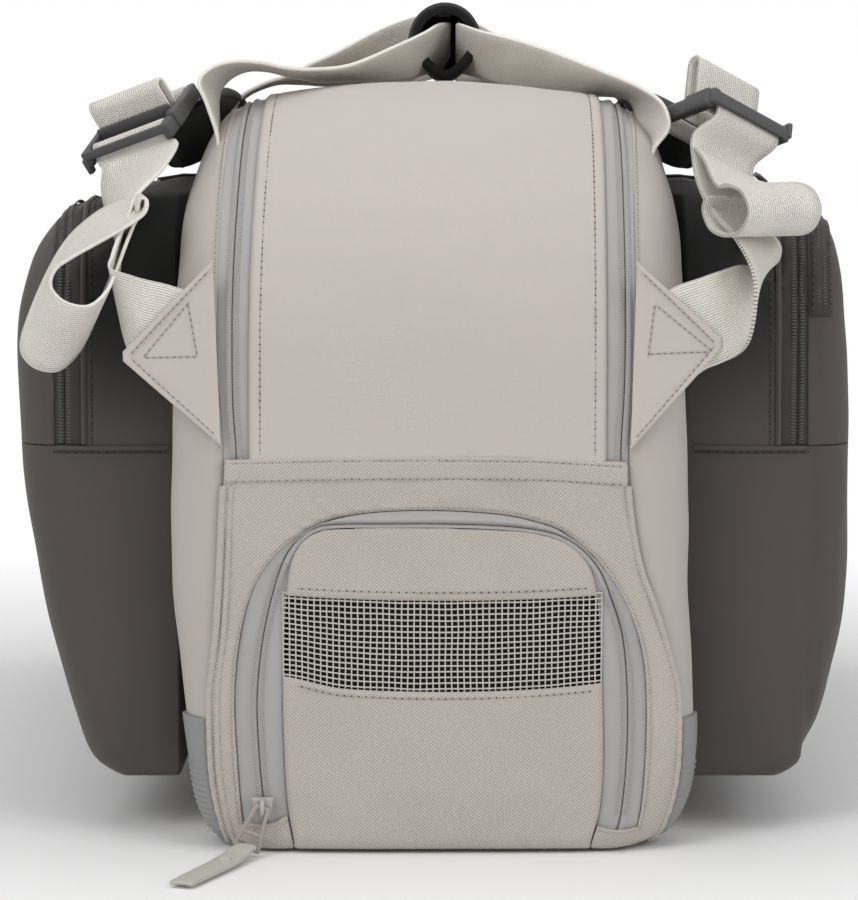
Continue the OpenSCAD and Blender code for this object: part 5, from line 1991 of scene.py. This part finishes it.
def build_stage():
    """Floor, soft lights, plain world and the camera."""
    scene = bpy.context.scene
    light = scene.bag_light
    bm = bmesh.new()
    bmesh.ops.create_circle(bm, cap_ends=True, segments=96, radius=4.0)
    mesh = bpy.data.meshes.new("floor")
    bm.to_mesh(mesh)
    bm.free()
    mesh.materials.append(floor_material())
    floor = bpy.data.objects.new("floor", mesh)
    scene.collection.objects.link(floor)

    world = bpy.data.worlds.new("Studio")
    scene.world = world
    world.use_nodes = True
    tree = world.node_tree
    soft_light = tree.nodes["Background"]
    soft_light.inputs["Color"].default_value = WHITE
    soft_light.inputs["Strength"].default_value = light.world
    white = tree.nodes.new("ShaderNodeBackground")
    white.inputs["Color"].default_value = WHITE
    white.inputs["Strength"].default_value = 1.0
    out = tree.nodes["World Output"]
    tree.links.new(white_for_camera(tree, soft_light.outputs[0], white.outputs[0]), out.inputs["Surface"])

    for name, place, look_at, size, level in LIGHTS:
        area_light(name, place, look_at, size, getattr(light, level))

    data = bpy.data.cameras.new("camera")
    data.lens = LENS
    data.shift_x, data.shift_y = LENS_SHIFT
    data.clip_end = 50
    camera = bpy.data.objects.new("camera", data)
    camera.location = CAMERA_AT
    camera.rotation_euler = (math.radians(90 - CAMERA_DROP), 0.0, 0.0)
    scene.collection.objects.link(camera)
    scene.camera = camera
    scene.view_settings.view_transform = "Standard"


# ---------------------------------------------------------------- add-on
def colour_property(name, description, default):
    """A setting for a colour."""
    return bpy.props.FloatVectorProperty(name=name, description=description, default=default, size=3, min=0,
                                         max=1, subtype="COLOR_GAMMA")


def power_property(name, description, default):
    """A setting for a light's power."""
    return bpy.props.FloatProperty(name=name, description=description, default=default, min=0.0, max=200.0,
                                   unit="POWER")


class BagSizes(bpy.types.PropertyGroup):
    """Sizes of the pieces that aren't set by the frame."""
    web_width: bpy.props.FloatProperty(name="Webbing width",
                                       description="Width of the handles' and straps' webbing",
                                       default=0.04, min=0.03, max=0.05, unit="LENGTH", subtype="DISTANCE")
    net_across: bpy.props.IntProperty(name="Net cells across",
                                      description="Cells of the shoe pocket's net from side to side",
                                      default=51, min=20, max=80)
    net_up: bpy.props.IntProperty(name="Net cells up",
                                  description="Cells of the shoe pocket's net from top to bottom",
                                  default=17, min=6, max=30)


class BagColours(bpy.types.PropertyGroup):
    """Colours of the cloth, zips, webbing and plastic."""
    fabric: colour_property("Body cloth", "Coarse woven cloth of the body and the shoe pocket",
                            (0.778, 0.744, 0.710))
    lid: colour_property("Lid cloth", "Fine smooth cloth of the lid", (0.782, 0.750, 0.720))
    side: colour_property("Side cloth", "Cloth of the side walls", (0.738, 0.712, 0.682))
    thread: colour_property("Thread", "Stitches on the light cloth", (0.72, 0.70, 0.66))
    zip_tape: colour_property("Zip tape", "Tape of the light zips", (0.690, 0.682, 0.678))
    zip_coil: colour_property("Zip coil", "Ribs beside the light zips' middle line", (0.640, 0.634, 0.632))
    webbing: colour_property("Webbing", "Handles and adjuster webs", (0.835, 0.820, 0.785))
    dark: colour_property("Compartment cloth", "Outer cloth of the racket compartments",
                          (0.290, 0.268, 0.260))
    # black is also the painted shade on the compartments' upper inner part.
    black: colour_property("Black cloth", "Padded straps, grip and inner panels", (0.046, 0.043, 0.043))
    dark_tape: colour_property("Dark zip tape", "Tape of the compartments' zips", (0.190, 0.180, 0.176))
    dark_coil: colour_property("Dark zip coil", "Ribs of the compartments' zips", (0.330, 0.315, 0.308))
    dark_thread: colour_property("Dark thread", "Stitches on the dark cloth", (0.235, 0.215, 0.210))
    net: colour_property("Net", "Cords of the shoe pocket's net", (0.800, 0.780, 0.755))
    rubber: colour_property("Rubber", "Base and corner guards", (0.560, 0.560, 0.560))
    slider: colour_property("Slider", "Sliders of the light zips", (0.700, 0.690, 0.675))
    puller: colour_property("Puller", "Pullers of the light zips", (0.640, 0.605, 0.570))
    tab: colour_property("Tab", "Soft tab of the shoe zip", (0.745, 0.745, 0.705))
    buckle: colour_property("Buckle", "Ladder locks", (0.270, 0.268, 0.270))
    dark_metal: colour_property("Dark metal", "Sliders and pullers of the compartments",
                                (0.200, 0.195, 0.195))


class BagLight(bpy.types.PropertyGroup):
    """Levels of the plain studio light."""
    world: bpy.props.FloatProperty(name="World", description="Strength of the plain surrounding light",
                                   default=0.46, min=0.0, max=2.0)
    top: power_property("Top light", "Power of the light above", 12.5)
    left: power_property("Left light", "Power of the light on the left", 19.0)
    right: power_property("Right light", "Power of the light on the right", 12.5)


class BAG_OT_body(bpy.types.Operator):
    """Builds the body's panels, seams, guards and gussets"""
    bl_idname = "bag.body"
    bl_label = "Body panels"

    def execute(self, context):
        for side in WORD:
            side_wall_piece(side)
            gusset_piece(side)
        base_piece()
        far_panel_piece()
        near_panel_piece()
        seam_band_piece()
        piping_piece()
        guards_piece()
        divider_piece()
        return {"FINISHED"}


class BAG_OT_lid(bpy.types.Operator):
    """Builds the lid's cloth and its stitches"""
    bl_idname = "bag.lid"
    bl_label = "Lid"

    def execute(self, context):
        lid_piece()
        return {"FINISHED"}


class BAG_OT_main_zip(bpy.types.Operator):
    """Builds both halves of the main zip"""
    bl_idname = "bag.main_zip"
    bl_label = "Main zip"

    def execute(self, context):
        main_zip_pieces()
        return {"FINISHED"}


class BAG_OT_shoe_pocket(bpy.types.Operator):
    """Builds the shoe pocket's flap, net, zip and end tabs"""
    bl_idname = "bag.shoe_pocket"
    bl_label = "Shoe pocket"

    def execute(self, context):
        shoe_zip_pieces()
        shoe_flap_pieces()
        shoe_tabs_piece()
        return {"FINISHED"}


class BAG_OT_shoe_pull(bpy.types.Operator):
    """Builds the shoe zip's slider, puller and tab"""
    bl_idname = "bag.shoe_pull"
    bl_label = "Shoe zip pull"

    def execute(self, context):
        shoe_pull_pieces()
        return {"FINISHED"}


class BAG_OT_compartments(bpy.types.Operator):
    """Builds both racket compartments with their zips"""
    bl_idname = "bag.compartments"
    bl_label = "Racket compartments"

    def execute(self, context):
        for side in WORD:
            compartment_pieces(side)
        return {"FINISHED"}


class BAG_OT_sliders(bpy.types.Operator):
    """Builds the sliders and pullers of the main zip, the compartments and the small pocket"""
    bl_idname = "bag.sliders"
    bl_label = "Sliders and pullers"

    def execute(self, context):
        other_sliders()
        return {"FINISHED"}


class BAG_OT_handles(bpy.types.Operator):
    """Builds both handle webs"""
    bl_idname = "bag.handles"
    bl_label = "Handle webs"

    def execute(self, context):
        handle_pieces()
        return {"FINISHED"}


class BAG_OT_grip(bpy.types.Operator):
    """Builds the padded grip"""
    bl_idname = "bag.grip"
    bl_label = "Grip"

    def execute(self, context):
        grip_piece()
        return {"FINISHED"}


class BAG_OT_straps(bpy.types.Operator):
    """Builds the padded straps and their stitched patches"""
    bl_idname = "bag.straps"
    bl_label = "Padded straps"

    def execute(self, context):
        for side in WORD:
            pad_pieces(side)
        anchor_pieces()
        return {"FINISHED"}


class BAG_OT_locks(bpy.types.Operator):
    """Builds the ladder locks with their webs and tongues"""
    bl_idname = "bag.locks"
    bl_label = "Ladder locks"

    def execute(self, context):
        for side in WORD:
            lock_pieces(side)
        return {"FINISHED"}


class BAG_OT_adjusters(bpy.types.Operator):
    """Builds the adjuster webs with their slack loops"""
    bl_idname = "bag.adjusters"
    bl_label = "Adjuster webs"

    def execute(self, context):
        adjuster_pieces()
        return {"FINISHED"}


class BAG_OT_finishes(bpy.types.Operator):
    """Gives the CAD nodes that stay in view their finish"""
    bl_idname = "bag.finishes"
    bl_label = "Finishes"

    def execute(self, context):
        paint("base_board", mat("board"))
        return {"FINISHED"}


class BAG_OT_stage(bpy.types.Operator):
    """Builds the floor, lights, world and camera"""
    bl_idname = "bag.stage"
    bl_label = "Stage"

    def execute(self, context):
        build_stage()
        return {"FINISHED"}


OPERATORS = (BAG_OT_body, BAG_OT_lid, BAG_OT_main_zip, BAG_OT_shoe_pocket, BAG_OT_shoe_pull,
             BAG_OT_compartments, BAG_OT_sliders, BAG_OT_handles, BAG_OT_grip, BAG_OT_straps, BAG_OT_locks,
             BAG_OT_adjusters, BAG_OT_finishes, BAG_OT_stage)


class BAG_PT_panel(bpy.types.Panel):
    """Lists the bag's settings and its building steps"""
    bl_idname = "BAG_PT_panel"
    bl_label = "Racket Bag"
    bl_space_type = "VIEW_3D"
    bl_region_type = "UI"
    bl_category = "Racket Bag"

    def draw(self, context):
        layout = self.layout
        scene = context.scene
        for group in (scene.bag_sizes, scene.bag_colours, scene.bag_light):
            box = layout.box()
            for name in type(group).__annotations__:
                box.prop(group, name)
        for operator in OPERATORS:
            layout.operator(operator.bl_idname)


CLASSES = (BagSizes, BagColours, BagLight) + OPERATORS + (BAG_PT_panel,)


def register():
    for cls in CLASSES:
        bpy.utils.register_class(cls)
    bpy.types.Scene.bag_sizes = bpy.props.PointerProperty(type=BagSizes)
    bpy.types.Scene.bag_colours = bpy.props.PointerProperty(type=BagColours)
    bpy.types.Scene.bag_light = bpy.props.PointerProperty(type=BagLight)


def unregister():
    del bpy.types.Scene.bag_light
    del bpy.types.Scene.bag_colours
    del bpy.types.Scene.bag_sizes
    for cls in reversed(CLASSES):
        bpy.utils.unregister_class(cls)


def main():
    """Builds every piece in order."""
    register()
    for operator in OPERATORS:
        family, name = operator.bl_idname.split(".")
        step = getattr(getattr(bpy.ops, family), name)
        if step() != {"FINISHED"}:
            raise RuntimeError("%s did not finish" % operator.bl_label)


if __name__ == "__main__":
    main()
